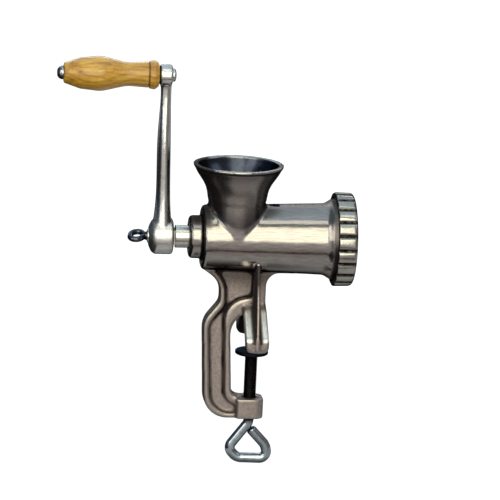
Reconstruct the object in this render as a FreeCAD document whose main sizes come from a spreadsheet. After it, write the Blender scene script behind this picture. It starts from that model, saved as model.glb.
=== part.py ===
import FreeCAD, Part
import math
import os

import Sketcher

# Manual meat grinder. Millimetres, +Z up, +X along the barrel towards the outlet.
# The origin lies between the two clamp feet, on the table top and on the clamp screw's axis.

V = FreeCAD.Vector
doc = FreeCAD.newDocument("meat_grinder")

SIZES = [
    # barrel and bearing collar, along the barrel's axis
    ("axis_z", 97.0, "barrel axis over the table top"),
    ("collar_back", -61.4, "rear face of the bearing collar"),
    ("collar_r", 19.35, "collar radius"),
    ("barrel_back", -50.0, "rear face of the barrel"),
    ("barrel_back_r", 28.7, "barrel radius at the rear"),
    ("barrel_front_r", 32.2, "barrel radius where the mouth flares"),
    ("flare_start", 60.2, "start of the flare"),
    ("flare_r", 36.2, "radius of the mouth's collar"),
    ("flare_end", 66.2, "rear of the mouth's collar"),
    ("thread_start", 70.0, "front of the mouth's collar"),
    ("thread_r", 37.2, "mouth thread radius"),
    ("mouth", 81.2, "front end of the barrel"),
    ("chamber_back", -44.0, "rear wall of the auger chamber"),
    ("chamber_back_r", 24.3, "chamber radius at the rear"),
    ("chamber_front_r", 27.4, "chamber radius at the front"),
    ("shaft_bore_r", 10.26, "bearing bore radius"),
    # hopper
    ("hopper_x", -19.3, "hopper axis"),
    ("neck_along", 25.6, "neck half width along the barrel"),
    ("neck_across", 29.6, "neck half width across the barrel"),
    ("rim_along", 39.8, "rim half width along the barrel"),
    ("rim_across", 38.8, "rim half width across the barrel"),
    ("neck_top", 130.0, "height where the neck starts to flare"),
    ("rim_top", 164.3, "rim height"),
    ("rim_lip", 0.9, "how far the rolled rim stands out"),
    ("hopper_wall", 3.8, "hopper wall"),
    # clamp frame
    ("frame_depth", 17.0, "depth of the frame's beads"),
    ("panel_depth", 4.6, "how far the frame's panels are sunk on each side"),
    ("bead", 5.4, "width of the frame's outer bead"),
    ("waist_x", -31.6, "frame waist"),
    ("spine_out", -46.0, "outer face of the spine at its top"),
    ("spine_in", -21.8, "inner face of the spine at its top"),
    ("spine_lean", 4.2, "how far the spine's foot leans towards the screw"),
    ("frame_foot", -68.2, "underside of the lower arm"),
    ("boss_top", -49.6, "top of the screw boss"),
    ("boss_along", 12.0, "screw boss half width along the barrel"),
    ("boss_across", 12.5, "screw boss half width across the barrel"),
    ("screw_hole_r", 6.1, "tapped hole of the screw boss"),
    ("crown", 31.0, "underside of the arch between spine and feet"),
    ("neck_side", 9.6, "outlet side of the neck"),
    # feet
    ("foot_half", 10.5, "foot half width along the barrel"),
    ("foot_out", 43.0, "outer face of the feet"),
    ("foot_in", 32.0, "inner face of the feet"),
    ("toe_top", 12.0, "top of the toes"),
    ("rib_half", 1.6, "half thickness of the legs' web"),
    # crank
    ("shaft_r", 10.2, "auger shaft radius"),
    ("tang", 13.0, "side of the square tang"),
    ("tang_start", -73.4, "where the round shaft turns square"),
    ("core_front", 62.0, "front end of the auger's core"),
    ("core_back_r", 12.0, "radius of the auger's core at the rear"),
    ("core_front_r", 17.0, "radius of the auger's core at the front"),
    ("flight_pitch", 36.0, "pitch of the auger's flights"),
    ("hub_out", -95.7, "outer face of the crank hub"),
    ("hub_in", -75.6, "inner face of the crank hub"),
    ("hub_boss", -97.4, "outer face of the hub's small boss"),
    ("crank_screw_r", 3.0, "thumb screw radius"),
    ("eye_rod_r", 2.6, "radius of the thumb screw's bent eye"),
    ("hub_r", 16.2, "crank hub radius"),
    ("crank_radius", 145.5, "from the barrel axis to the grip axis"),
    ("top_boss_out", -92.7, "grip side of the arm's top boss"),
    ("top_boss_in", -81.7, "barrel side of the arm's top boss"),
    ("top_boss_r", 9.5, "radius of the arm's top boss"),
    # grip
    ("grip_end", -177.7, "free end of the grip"),
    ("grip_length", 84.0, "grip length"),
    ("grip_bore_r", 4.08, "bore of the grip"),
    ("spindle_r", 4.0, "handle screw radius"),
    ("head_r", 6.1, "handle screw head radius"),
    ("head_tall", 5.6, "handle screw head height"),
    # clamp screw
    ("screw_r", 5.8, "clamp screw radius"),
    ("rod_r", 4.6, "radius of the bent handle rod"),
    ("pad_neck_r", 3.4, "neck of the clamp screw inside its pad"),
    ("pad_r", 15.0, "clamp pad radius"),
    ("pad_top", -6.4, "top of the clamp pad"),
    ("pad_thick", 3.4, "clamp pad thickness"),
    # cutting set
    ("plate_r", 31.0, "grinding plate radius"),
    ("plate_back", 74.8, "rear face of the grinding plate"),
    ("plate_thick", 7.0, "grinding plate thickness"),
    ("stud_r", 3.9, "knife stud radius"),
    ("stud_depth", 20.0, "how deep the stud is screwed into the auger"),
    ("plate_hole_r", 2.4, "radius of the plate's holes"),
    ("plate_row", 7.3, "spacing of the rows of holes"),
    ("key_r", 2.0, "radius of the pin that keys the plate"),
    ("knife_r", 26.0, "knife radius"),
    ("knife_thick", 9.0, "knife thickness"),
    ("drive_square", 12.0, "side of the square that drives the knife"),
    # ring nut
    ("ring_back", 68.5, "rear face of the ring nut"),
    ("ring_front", 85.8, "front face of the ring nut"),
    ("ring_r", 42.7, "ring nut radius over its lobes"),
    ("ring_mouth_r", 27.5, "radius of the ring nut's opening"),
    ("lobes", 20, "lobes round the ring nut"),
]

size = doc.addObject("Spreadsheet::Sheet", "size")
for row, (alias, value, note) in enumerate(SIZES, start=1):
    size.set(f"A{row}", str(value))
    size.setAlias(f"A{row}", alias)
    size.set(f"B{row}", note)
doc.recompute()


def worth(expression):
    """The value that an expression of the sheet's names has now."""
    return float(size.evalExpression(str(expression)))


def new_body(name, z=None):
    body = doc.addObject("PartDesign::Body", name)
    if z is not None:
        body.setExpression("Placement.Base.z", z)
    return body


def plane(body, role):
    return next(f for f in body.Origin.OriginFeatures if f.Role == role)


def new_sketch(body, name, role, lift=None):
    """A sketch on one of the body's own planes, lifted along the plane's normal."""
    sketch = body.newObject("Sketcher::SketchObject", name)
    sketch.AttachmentSupport = (plane(body, role), [""])
    sketch.MapMode = "FlatFace"
    if lift is not None:
        sketch.setExpression("AttachmentOffset.Base.z", lift)
    return sketch


def hold(sketch, constraint, expression):
    """Adds a dimension and binds it to the sheet."""
    index = sketch.addConstraint(constraint)
    sketch.setExpression(f"Constraints[{index}]", str(expression))


def circle(sketch, radius, across="0", up="0"):
    place = V(worth(across), worth(up), 0)
    index = sketch.addGeometry(Part.Circle(place, V(0, 0, 1), worth(radius)), False)
    hold(sketch, Sketcher.Constraint("Radius", index, worth(radius)), radius)
    hold(sketch, Sketcher.Constraint("DistanceX", -1, 1, index, 3, place.x), across)
    hold(sketch, Sketcher.Constraint("DistanceY", -1, 1, index, 3, place.y), up)


def outline(sketch, corners, closed=True):
    """Straight lines through corners (across, up, round), back to the first unless left open.

    A corner with a third value is rounded to that radius: its two lines stay aimed at the
    corner point, and a tangent arc joins them.
    """
    spots = [V(worth(c[0]), worth(c[1]), 0) for c in corners]
    count = len(corners)
    starts, ends, arcs = [], [], {}
    for i, spot in enumerate(spots):
        if len(corners[i]) < 3:
            starts.append(spot)
            ends.append(spot)
            continue
        before = (spots[i - 1] - spot).normalize()
        after = (spots[(i + 1) % count] - spot).normalize()
        radius = worth(corners[i][2])
        half = before.getAngle(after) / 2
        reach = radius / math.tan(half)
        first, last = spot + before * reach, spot + after * reach
        centre = spot + (before + after).normalize() * (radius / math.sin(half))
        middle = centre + (spot - centre).normalize() * radius
        turns_left = before.cross(after).z < 0
        arcs[i] = (Part.Arc(first, middle, last), turns_left)
        ends.append(first)
        starts.append(last)
    lines = [
        sketch.addGeometry(Part.LineSegment(starts[i], ends[(i + 1) % count]), False)
        for i in range(count if closed else count - 1)
    ]
    for i, corner in enumerate(corners):
        arriving, leaving = lines[i - 1], lines[i % len(lines)]
        if i not in arcs:
            anchor, point = leaving, 1
            if not closed and i == count - 1:
                anchor, point = arriving, 2
            elif closed or i > 0:
                sketch.addConstraint(Sketcher.Constraint("Coincident", arriving, 2, leaving, 1))
        else:
            arc, turns_left = arcs[i]
            bend = sketch.addGeometry(arc, False)
            near, far = (1, 2) if turns_left else (2, 1)
            sketch.addConstraint(Sketcher.Constraint("Tangent", arriving, 2, bend, near))
            sketch.addConstraint(Sketcher.Constraint("Tangent", leaving, 1, bend, far))
            hold(sketch, Sketcher.Constraint("Radius", bend, worth(corner[2])), corner[2])
            anchor, point = sketch.addGeometry(Part.Point(spots[i]), True), 1
            sketch.addConstraint(Sketcher.Constraint("PointOnObject", anchor, 1, arriving))
            sketch.addConstraint(Sketcher.Constraint("PointOnObject", anchor, 1, leaving))
        across = Sketcher.Constraint("DistanceX", -1, 1, anchor, point, spots[i].x)
        up = Sketcher.Constraint("DistanceY", -1, 1, anchor, point, spots[i].y)
        hold(sketch, across, corner[0])
        hold(sketch, up, corner[1])


def pad(body, name, sketch, length, midplane=True, back=False):
    feature = body.newObject("PartDesign::Pad", name)
    feature.Profile = sketch
    feature.setExpression("Length", str(length))
    feature.Midplane = midplane
    feature.Reversed = back
    return feature


def pocket(body, name, sketch, depth, midplane=False, back=False):
    feature = body.newObject("PartDesign::Pocket", name)
    feature.Profile = sketch
    feature.setExpression("Length", str(depth))
    feature.Midplane = midplane
    feature.Reversed = back
    return feature


def turn(body, name, sketch, role="X_Axis"):
    feature = body.newObject("PartDesign::Revolution", name)
    feature.Profile = sketch
    feature.ReferenceAxis = (plane(body, role), [""])
    feature.Angle = 360.0
    return feature


def repeat(body, name, original, count, role="X_Axis"):
    """Repeats a feature evenly about one of the body's axes."""
    pattern = body.newObject("PartDesign::PolarPattern", name)
    pattern.Originals = [original]
    pattern.Axis = (plane(body, role), [""])
    pattern.Angle = 360.0
    pattern.Occurrences = count
    body.Tip = pattern
    return pattern


def mirror(body, name, originals, role):
    copy = body.newObject("PartDesign::Mirrored", name)
    copy.Originals = originals
    copy.MirrorPlane = (plane(body, role), [""])
    body.Tip = copy
    return copy


PIECES = []


def piece(obj, label):
    obj.Label = label
    PIECES.append(obj)
    return obj


def make_barrel():
    """Collar, barrel and threaded mouth, turned about the barrel's axis."""
    body = new_body("barrel_blank", "size.axis_z")
    sketch = new_sketch(body, "barrel_outline", "XZ_Plane")
    outline(sketch, [
        ("size.collar_back", "0"),
        ("size.collar_back", "size.collar_r", "3"),
        ("size.barrel_back", "size.collar_r", "1"),
        ("size.barrel_back", "size.barrel_back_r", "2.2"),
        ("size.flare_start", "size.barrel_front_r", "8"),
        ("size.flare_end", "size.flare_r", "2"),
        ("size.thread_start", "size.flare_r"),
        ("size.thread_start", "size.thread_r"),
        ("size.mouth", "size.thread_r"),
        ("size.mouth", "0"),
    ])
    turn(body, "barrel_turned", sketch)
    return body


def oval(along, across, height):
    """A closed oval about the hopper's axis: a unit circle stretched both ways."""
    stretch = FreeCAD.Matrix()
    stretch.scale(along, across, 1)
    edge = Part.Circle(V(0, 0, 0), V(0, 0, 1), 1).toShape().transformGeometry(stretch)
    ring = Part.Wire(edge)
    ring.translate(V(worth("size.hopper_x"), 0, height))
    return ring


def hopper_form(name, wall):
    """The hopper out to the given depth under its outer skin: a straight oval neck and a flare.

    The neck is as wide across as the barrel, so the two meet in a V on the barrel's side.
    """
    flares = [0.0, 0.1, 0.23, 0.51, 0.83, 1.0]
    neck = worth("size.neck_along") - wall, worth("size.neck_across") - wall
    rim = worth("size.rim_along") - wall, worth("size.rim_across") - wall
    low, top = worth("size.neck_top"), worth("size.rim_top")
    rings = [
        oval(neck[0] + flare * (rim[0] - neck[0]), neck[1] + flare * (rim[1] - neck[1]),
             low + (top - low) * step / (len(flares) - 1))
        for step, flare in enumerate(flares)
    ]
    flared = Part.makeLoft(rings, True, False)
    straight = Part.Face(rings[0]).extrude(V(0, 0, worth("size.axis_z") - low))
    form = doc.addObject("Part::Feature", name)
    form.Shape = flared.fuse(straight)
    return form


def make_hopper():
    """The hopper's skin with its rolled rim, and the throat to take out of it."""
    rim = hopper_form("rim_blank", -worth("size.rim_lip"))
    band = doc.addObject("Part::Box", "rim_band")
    band.Length = 120
    band.Width = 120
    band.Height = 3
    band.setExpression("Placement.Base.x", "size.hopper_x - 60")
    band.Placement.Base.y = -60
    band.setExpression("Placement.Base.z", "size.rim_top - 3")
    lip = doc.addObject("Part::MultiCommon", "rim_lip")
    lip.Shapes = [rim, band]
    throat = hopper_form("throat_tool", worth("size.hopper_wall"))
    return [hopper_form("hopper_blank", 0), lip], throat


def make_frame():
    """The clamp's C, with a bead round each sunk panel, and the boss for the screw."""
    body = new_body("frame_blank")
    sketch = new_sketch(body, "frame_outline", "XZ_Plane")
    outline(sketch, [
        ("size.barrel_back + 0.2", "size.axis_z - 18"),
        ("size.barrel_back + 0.2", "size.axis_z - 26.8"),
        ("size.waist_x", "57.8", "22"),
        ("size.waist_x", "39", "11"),
        ("size.spine_out", "21", "22"),
        ("size.spine_out + size.spine_lean", "size.frame_foot", "22"),
        ("-size.boss_along + 6", "size.frame_foot"),
        ("-size.boss_along + 6", "size.boss_top"),
        ("size.spine_in + size.spine_lean", "size.boss_top + 3.2", "8"),
        ("size.spine_in", "size.crown", "22"),
        ("size.neck_side", "size.crown"),
        ("size.neck_side", "size.axis_z - 30.6", "12"),
        ("34", "size.axis_z - 30.6"),
        ("34", "size.axis_z - 18"),
    ])
    pad(body, "frame_plate", sketch, "size.frame_depth")
    for side, way in (("near", 1), ("far", -1)):
        panel = new_sketch(body, f"{side}_panel", "XZ_Plane", f"{way} * size.frame_depth / 2")
        outline(panel, [
            ("size.barrel_back + 1", "75.2"),
            ("size.waist_x + 5", "60.2", "27"),
            ("size.waist_x + 5", "36.4", "16"),
            ("size.spine_out + size.bead", "19", "16.5"),
            ("size.spine_out + size.spine_lean + size.bead", "size.frame_foot + 4.5", "20"),
            ("-size.boss_along - 1", "size.frame_foot + 4.5"),
            ("-size.boss_along - 1", "size.boss_top - 6.3"),
            ("size.spine_in + size.spine_lean - 6", "size.boss_top - 6.3", "13"),
            ("size.spine_in - 5.4", "41", "21"),
            ("0", "43.6"),
            ("0", "size.axis_z - 20"),
            ("size.barrel_back + 1", "size.axis_z - 20"),
        ])
        pocket(body, f"{side}_panel_sunk", panel, "size.panel_depth", back=way < 0)
    boss = new_sketch(body, "boss_outline", "XY_Plane", "size.boss_top")
    outline(boss, [
        ("-size.boss_along - 0.8", "-size.boss_across", "2"),
        ("size.boss_along", "-size.boss_across", "7.5"),
        ("size.boss_along", "size.boss_across", "7.5"),
        ("-size.boss_along - 0.8", "size.boss_across", "2"),
    ])
    pad(body, "boss", boss, "size.boss_top - size.frame_foot", midplane=False, back=True)
    return body


def make_legs():
    """The two legs that straddle the screw: sloping flanges under a web that rises to the barrel."""
    body = new_body("legs_blank")
    flange = new_sketch(body, "flange_outline", "YZ_Plane")
    outline(flange, [
        ("-6", "40"),
        ("-size.foot_out + 6", "size.toe_top + 3", "6"),
        ("-size.foot_out + 1.8", "size.toe_top"),
        ("-size.foot_out + 1.8", "0"),
        ("-size.foot_in", "0"),
        ("-size.foot_in", "size.toe_top - 6", "8"),
        ("-7", "size.crown", "6"),
        ("7", "size.crown", "6"),
        ("size.foot_in", "size.toe_top - 6", "8"),
        ("size.foot_in", "0"),
        ("size.foot_out - 1.8", "0"),
        ("size.foot_out - 1.8", "size.toe_top"),
        ("size.foot_out - 6", "size.toe_top + 3", "6"),
        ("6", "40"),
    ])
    pad(body, "flanges", flange, "2 * size.foot_half")
    trim = new_sketch(body, "trim_outline", "XZ_Plane")
    outline(trim, [
        ("size.foot_half - 6.4", "0"),
        ("size.foot_half", "0", "6"),
        ("size.foot_half", "30"),
        ("size.neck_side - 0.8", "52"),
        ("size.neck_side - 0.8", "63"),
        ("size.foot_half + 5", "63"),
        ("size.foot_half + 5", "-3"),
        ("size.foot_half - 6.4", "-3"),
    ])
    cut = pocket(body, "trim_outlet_side", trim, "120", midplane=True)
    mirror(body, "trim_crank_side", [cut], "YZ_Plane")
    rib = new_sketch(body, "rib_outline", "YZ_Plane")
    outline(rib, [
        ("-25", "size.axis_z - 19"),
        ("-size.foot_out", "size.toe_top + 1", "10"),
        ("-size.foot_out", "2"),
        ("-size.foot_out + 4", "2"),
        ("-size.foot_out + 4", "size.toe_top - 4"),
        ("-8", "size.crown + 3"),
        ("8", "size.crown + 3"),
        ("size.foot_out - 4", "size.toe_top - 4"),
        ("size.foot_out - 4", "2"),
        ("size.foot_out", "2"),
        ("size.foot_out", "size.toe_top + 1", "10"),
        ("25", "size.axis_z - 19"),
    ])
    pad(body, "ribs", rib, "2 * size.rib_half")
    return body


def make_bores():
    """What is bored out of the casting: chamber, plate seat, shaft bearing and screw hole."""
    body = new_body("bore_tool", "size.axis_z")
    sketch = new_sketch(body, "bore_outline", "XZ_Plane")
    outline(sketch, [
        ("size.collar_back - 5", "0"),
        ("size.collar_back - 5", "size.shaft_bore_r"),
        ("size.chamber_back", "size.shaft_bore_r"),
        ("size.chamber_back", "size.chamber_back_r", "3"),
        ("size.plate_back - 0.2", "size.chamber_front_r"),
        ("size.plate_back - 0.2", "size.plate_r + 0.15"),
        ("size.mouth + 5", "size.plate_r + 0.15"),
        ("size.mouth + 5", "0"),
    ])
    turn(body, "bore_turned", sketch)
    hole = doc.addObject("Part::Cylinder", "screw_hole")
    hole.setExpression("Radius", "size.screw_hole_r")
    hole.setExpression("Height", "size.boss_top - size.frame_foot + 10")
    hole.setExpression("Placement.Base.z", "size.frame_foot - 5")
    return [body, hole, key_pin("key_pin_hole", "size.key_r")]


def make_casting():
    hopper, throat = make_hopper()
    solid = doc.addObject("Part::MultiFuse", "casting_solid")
    solid.Shapes = [make_barrel(), make_frame(), make_legs()] + hopper
    hollow = doc.addObject("Part::MultiFuse", "casting_hollow")
    hollow.Shapes = [throat] + make_bores()
    casting = doc.addObject("Part::Cut", "casting")
    casting.Base = solid
    casting.Tool = hollow
    piece(casting, "body_casting")


def ring(name, label, back, front, outer, inner, z):
    """A flat ring about an axis along X, such as a washer."""
    body = new_body(name, z)
    sketch = new_sketch(body, name + "_face", "YZ_Plane", back)
    circle(sketch, outer)
    circle(sketch, inner)
    pad(body, name + "_pad", sketch, f"({front}) - ({back})", midplane=False)
    return piece(body, label)


def square(sketch, side):
    half = f"({side}) / 2"
    outline(sketch, [("-" + half, "-" + half), (half, "-" + half), (half, half), ("-" + half, half)])


def make_auger():
    """Bearing shaft, square tang, tapered core, flights that push forwards, and knife square."""
    body = new_body("auger_body", "size.axis_z")
    core = new_sketch(body, "core_outline", "XZ_Plane")
    outline(core, [
        ("size.tang_start", "0"),
        ("size.tang_start", "size.shaft_r"),
        ("size.chamber_back + 1.3", "size.shaft_r"),
        ("size.chamber_back + 1.3", "size.chamber_back_r - 2", "1"),
        ("size.chamber_back + 5", "size.chamber_back_r - 2", "1"),
        ("size.chamber_back + 5", "size.core_back_r", "3"),
        ("size.core_front", "size.core_front_r"),
        ("size.core_front", "0"),
    ])
    turn(body, "core_turned", core)
    flight = new_sketch(body, "flight_outline", "XZ_Plane")
    start = "size.chamber_back + 3"
    outline(flight, [
        (start, "size.shaft_r - 1"),
        (start + " + 1.6", "size.chamber_back_r - 0.6"),
        (start + " + 5", "size.chamber_back_r - 0.6"),
        (start + " + 7.4", "size.shaft_r - 1"),
    ])
    helix = body.newObject("PartDesign::AdditiveHelix", "flights")
    helix.Profile = flight
    helix.ReferenceAxis = (plane(body, "X_Axis"), [""])
    helix.Mode = 0
    helix.setExpression("Pitch", "size.flight_pitch")
    helix.setExpression("Height", "size.core_front - size.chamber_back - 12")
    helix.Angle = 1.2
    helix.LeftHanded = True
    body.Tip = helix
    tang = new_sketch(body, "tang_face", "YZ_Plane", "size.hub_out - 0.6")
    square(tang, "size.tang")
    pad(body, "tang_pad", tang, "size.tang_start - size.hub_out + 0.6", midplane=False)
    nose = new_sketch(body, "nose_face", "YZ_Plane", "size.core_front")
    square(nose, "size.drive_square")
    pad(body, "nose_pad", nose, "size.plate_back - 1.2 - size.core_front", midplane=False)
    bore = new_sketch(body, "stud_hole_face", "YZ_Plane", "size.plate_back - 1.2")
    circle(bore, "size.stud_r")
    pocket(body, "stud_hole", bore, "size.stud_depth")
    eye = new_sketch(body, "crank_screw_hole_face", "YZ_Plane", "size.hub_out - 0.6")
    circle(eye, "size.crank_screw_r + 0.3")
    pocket(body, "crank_screw_hole", eye, "16", back=True)
    return piece(body, "auger")


def make_cutting_set():
    """Stud, four-bladed knife, drilled plate and the pin that keys the plate."""
    stud = new_body("stud_body", "size.axis_z")
    sketch = new_sketch(stud, "stud_outline", "XZ_Plane")
    outline(sketch, [
        ("size.plate_back - 1.2 - size.stud_depth", "0"),
        ("size.plate_back - 1.2 - size.stud_depth", "size.stud_r"),
        ("size.plate_back + size.plate_thick - 0.6", "size.stud_r"),
        ("size.plate_back + size.plate_thick", "size.stud_r - 0.6"),
        ("size.plate_back + size.plate_thick", "0"),
    ])
    turn(stud, "stud_turned", sketch)
    piece(stud, "knife_stud")

    knife = new_body("knife_body", "size.axis_z")
    cutting_face = "size.plate_back - 0.2"
    hub = new_sketch(knife, "knife_hub_face", "YZ_Plane", cutting_face)
    circle(hub, "11")
    pad(knife, "knife_hub", hub, "size.knife_thick", midplane=False, back=True)
    blade = new_sketch(knife, "blade_face", "YZ_Plane", cutting_face)
    outline(blade, [
        ("4", "-5.6"),
        ("size.knife_r - 1", "-5.6", "1"),
        ("size.knife_r - 0.4", "3.4", "4"),
        ("14", "7.5", "6"),
        ("4", "7.5"),
    ])
    blades = pad(knife, "blade", blade, "size.knife_thick - 2.6", midplane=False, back=True)
    repeat(knife, "blades", blades, 4)
    hole = new_sketch(knife, "knife_square_face", "YZ_Plane", cutting_face)
    square(hole, "size.drive_square + 0.2")
    pocket(knife, "knife_square", hole, "size.knife_thick + 1")
    piece(knife, "knife")

    plate = new_body("plate_body", "size.axis_z")
    disc = new_sketch(plate, "plate_face", "YZ_Plane", "size.plate_back")
    circle(disc, "size.plate_r")
    circle(disc, "size.stud_r + 0.08")
    pad(plate, "plate_disc", disc, "size.plate_thick", midplane=False)
    front = "size.plate_back + size.plate_thick"
    for row, count in ((1, 7), (2, 13), (3, 19)):
        drill = new_sketch(plate, f"hole_face_{row}", "YZ_Plane", front)
        circle(drill, "size.plate_hole_r", f"4 + {row} * size.plate_row", "0")
        hole = pocket(plate, f"hole_{row}", drill, "size.plate_thick + 1")
        repeat(plate, f"holes_{row}", hole, count)
    notch = new_sketch(plate, "notch_face", "YZ_Plane", front)
    circle(notch, "size.key_r + 0.3", "0", "-size.plate_r")
    pocket(plate, "notch", notch, "size.plate_thick + 1")
    piece(plate, "grinding_plate")
    piece(key_pin("key_pin", "size.key_r"), "plate_key_pin")


def key_pin(name, radius):
    """The plate's key: a pin along X in the bottom of the plate's seat."""
    pin = doc.addObject("Part::Cylinder", name)
    pin.setExpression("Radius", radius)
    pin.setExpression("Height", "size.mouth - size.plate_back + 5")
    pin.Placement.Rotation = FreeCAD.Rotation(V(0, 1, 0), 90)
    pin.setExpression("Placement.Base.x", "size.plate_back - 6")
    pin.setExpression("Placement.Base.z", "size.axis_z - size.plate_r - 0.15")
    return pin


def make_ring_nut():
    """Cap with an inward lip that holds the plate, and rounded lobes all round to turn it by."""
    body = new_body("ring_nut_body", "size.axis_z")
    bore = "size.thread_r + 0.4"
    lip = "size.plate_back + size.plate_thick + 0.2"
    sketch = new_sketch(body, "ring_nut_outline", "XZ_Plane")
    outline(sketch, [
        ("size.ring_back", bore),
        ("size.ring_back", "size.ring_r", "1.8"),
        ("size.ring_front", "size.ring_r - 0.6", "4"),
        ("size.ring_front", "size.ring_mouth_r", "1.5"),
        (lip, "size.ring_mouth_r"),
        (lip, bore),
    ])
    turn(body, "ring_nut_turned", sketch)
    valley = new_sketch(body, "valley_face", "YZ_Plane", "size.ring_front + 1")
    valley.AttachmentOffset = FreeCAD.Placement(V(0, 0, 0), FreeCAD.Rotation(V(0, 0, 1), 2))
    outline(valley, [
        ("size.ring_r - 2.3", "0", "0.5"),
        ("size.ring_r - 0.85", "2.2", "5"),
        ("size.ring_r - 0.2", "7.2"),
        ("size.ring_r + 3", "7.2"),
        ("size.ring_r + 3", "-7.2"),
        ("size.ring_r - 0.2", "-7.2"),
        ("size.ring_r - 0.85", "-2.2", "5"),
    ])
    cut = pocket(body, "valley", valley, "size.ring_front - size.ring_back + 2")
    repeat(body, "valleys", cut, int(worth("size.lobes")))
    return piece(body, "ring_nut")


def make_crank():
    """The crank: hub, a tapering oval arm and the top boss, with its three holes."""
    hub = new_body("hub_blank", "size.axis_z")
    sketch = new_sketch(hub, "hub_outline", "XZ_Plane")
    outline(sketch, [
        ("size.hub_boss", "0"),
        ("size.hub_boss", "8.5", "4"),
        ("size.hub_out + 1", "14.2", "4"),
        ("size.hub_out + 4", "size.hub_r", "4"),
        ("size.hub_in", "size.hub_r", "2.5"),
        ("size.hub_in", "0"),
    ])
    turn(hub, "hub_turned", sketch)
    top = new_body("top_blank", "size.axis_z + size.crank_radius")
    sketch = new_sketch(top, "top_outline", "XZ_Plane")
    outline(sketch, [
        ("size.top_boss_out", "0"),
        ("size.top_boss_out", "size.top_boss_r", "1.2"),
        ("size.top_boss_in", "size.top_boss_r", "1.2"),
        ("size.top_boss_in", "0"),
    ])
    turn(top, "top_turned", sketch)
    # height over the barrel's axis, half thickness along X and half width along Y, offset of the middle
    waists = [(7, 9.2, 13.5, 0.0), (14, 8.2, 11.6, 0.0), (24, 7.2, 9.6, 0.0), (60, 6.2, 8.4, -0.6),
              (100, 5.6, 7.2, -1.2), (142, 5.4, 6.4, -1.5)]
    ovals = []
    for step, (height, thick, wide, shift) in enumerate(waists):
        oval = doc.addObject("Part::Ellipse", f"arm_oval_{step}")
        oval.MajorRadius = wide
        oval.MinorRadius = thick
        oval.Placement.Rotation = FreeCAD.Rotation(V(0, 0, 1), 90)
        oval.setExpression("Placement.Base.z", f"size.axis_z + {height}")
        oval.setExpression("Placement.Base.x", f"(size.hub_out + size.hub_in) / 2 + {shift}")
        ovals.append(oval)
    arm = doc.addObject("Part::Loft", "arm_blank")
    arm.Sections = ovals
    arm.Solid = True
    solid = doc.addObject("Part::MultiFuse", "crank_solid")
    solid.Shapes = [hub, arm, top]
    socket = doc.addObject("Part::Box", "tang_socket")
    socket.setExpression("Length", "size.hub_in - size.hub_out + 5")
    for way in ("Width", "Height"):
        socket.setExpression(way, "size.tang + 0.2")
    socket.setExpression("Placement.Base.x", "size.hub_out - 0.8")
    socket.setExpression("Placement.Base.y", "-size.tang / 2 - 0.1")
    socket.setExpression("Placement.Base.z", "size.axis_z - size.tang / 2 - 0.1")
    holes = [socket]
    for name, radius, reach, z in (
        ("crank_screw_way", "size.crank_screw_r + 0.3", "size.hub_boss - 2", "size.axis_z"),
        ("spindle_way", "size.spindle_r + 0.05", "size.top_boss_out - 2", "size.axis_z + size.crank_radius"),
    ):
        hole = doc.addObject("Part::Cylinder", name)
        hole.setExpression("Radius", radius)
        hole.Height = 20
        hole.Placement.Rotation = FreeCAD.Rotation(V(0, 1, 0), 90)
        hole.setExpression("Placement.Base.x", reach)
        hole.setExpression("Placement.Base.z", z)
        holes.append(hole)
    hollow = doc.addObject("Part::MultiFuse", "crank_holes")
    hollow.Shapes = holes
    crank = doc.addObject("Part::Cut", "crank")
    crank.Base = solid
    crank.Tool = hollow
    return piece(crank, "crank_arm")


def make_crank_screw():
    """Thumb screw: threaded shank, collar and an eye bent from rod, with its washer."""
    ring("crank_washer", "crank_screw_washer", "size.hub_boss - 1", "size.hub_boss",
         "6", "size.crank_screw_r + 0.06", "size.axis_z")
    body = new_body("crank_screw_body", "size.axis_z")
    body.Placement.Rotation = FreeCAD.Rotation(V(1, 0, 0), 27)
    neck = "size.hub_boss - 1.1"
    shank = new_sketch(body, "crank_screw_outline", "XZ_Plane")
    outline(shank, [
        (neck + " - 2.4", "0"),
        (neck + " - 2.4", "2.6"),
        (neck, "4.4", "0.6"),
        (neck, "size.crank_screw_r"),
        (neck + " + 14", "size.crank_screw_r"),
        (neck + " + 14", "0"),
    ])
    turn(body, "crank_screw_turned", shank)
    path = new_sketch(body, "eye_path", "XY_Plane")
    outline(path, [
        (neck + " - 1.6", "0"),
        (neck + " - 6.9", "7.4", "5"),
        (neck + " - 13.6", "6.4", "5.6"),
        (neck + " - 13.6", "0"),
    ], closed=False)
    section = new_sketch(body, "eye_section", "XZ_Plane")
    circle(section, "size.eye_rod_r", neck + " - 13.6", "0")
    eye = body.newObject("PartDesign::AdditivePipe", "eye_half")
    eye.Profile = section
    eye.Spine = path
    mirror(body, "eye_whole", [eye], "XZ_Plane")
    return piece(body, "crank_screw")


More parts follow.
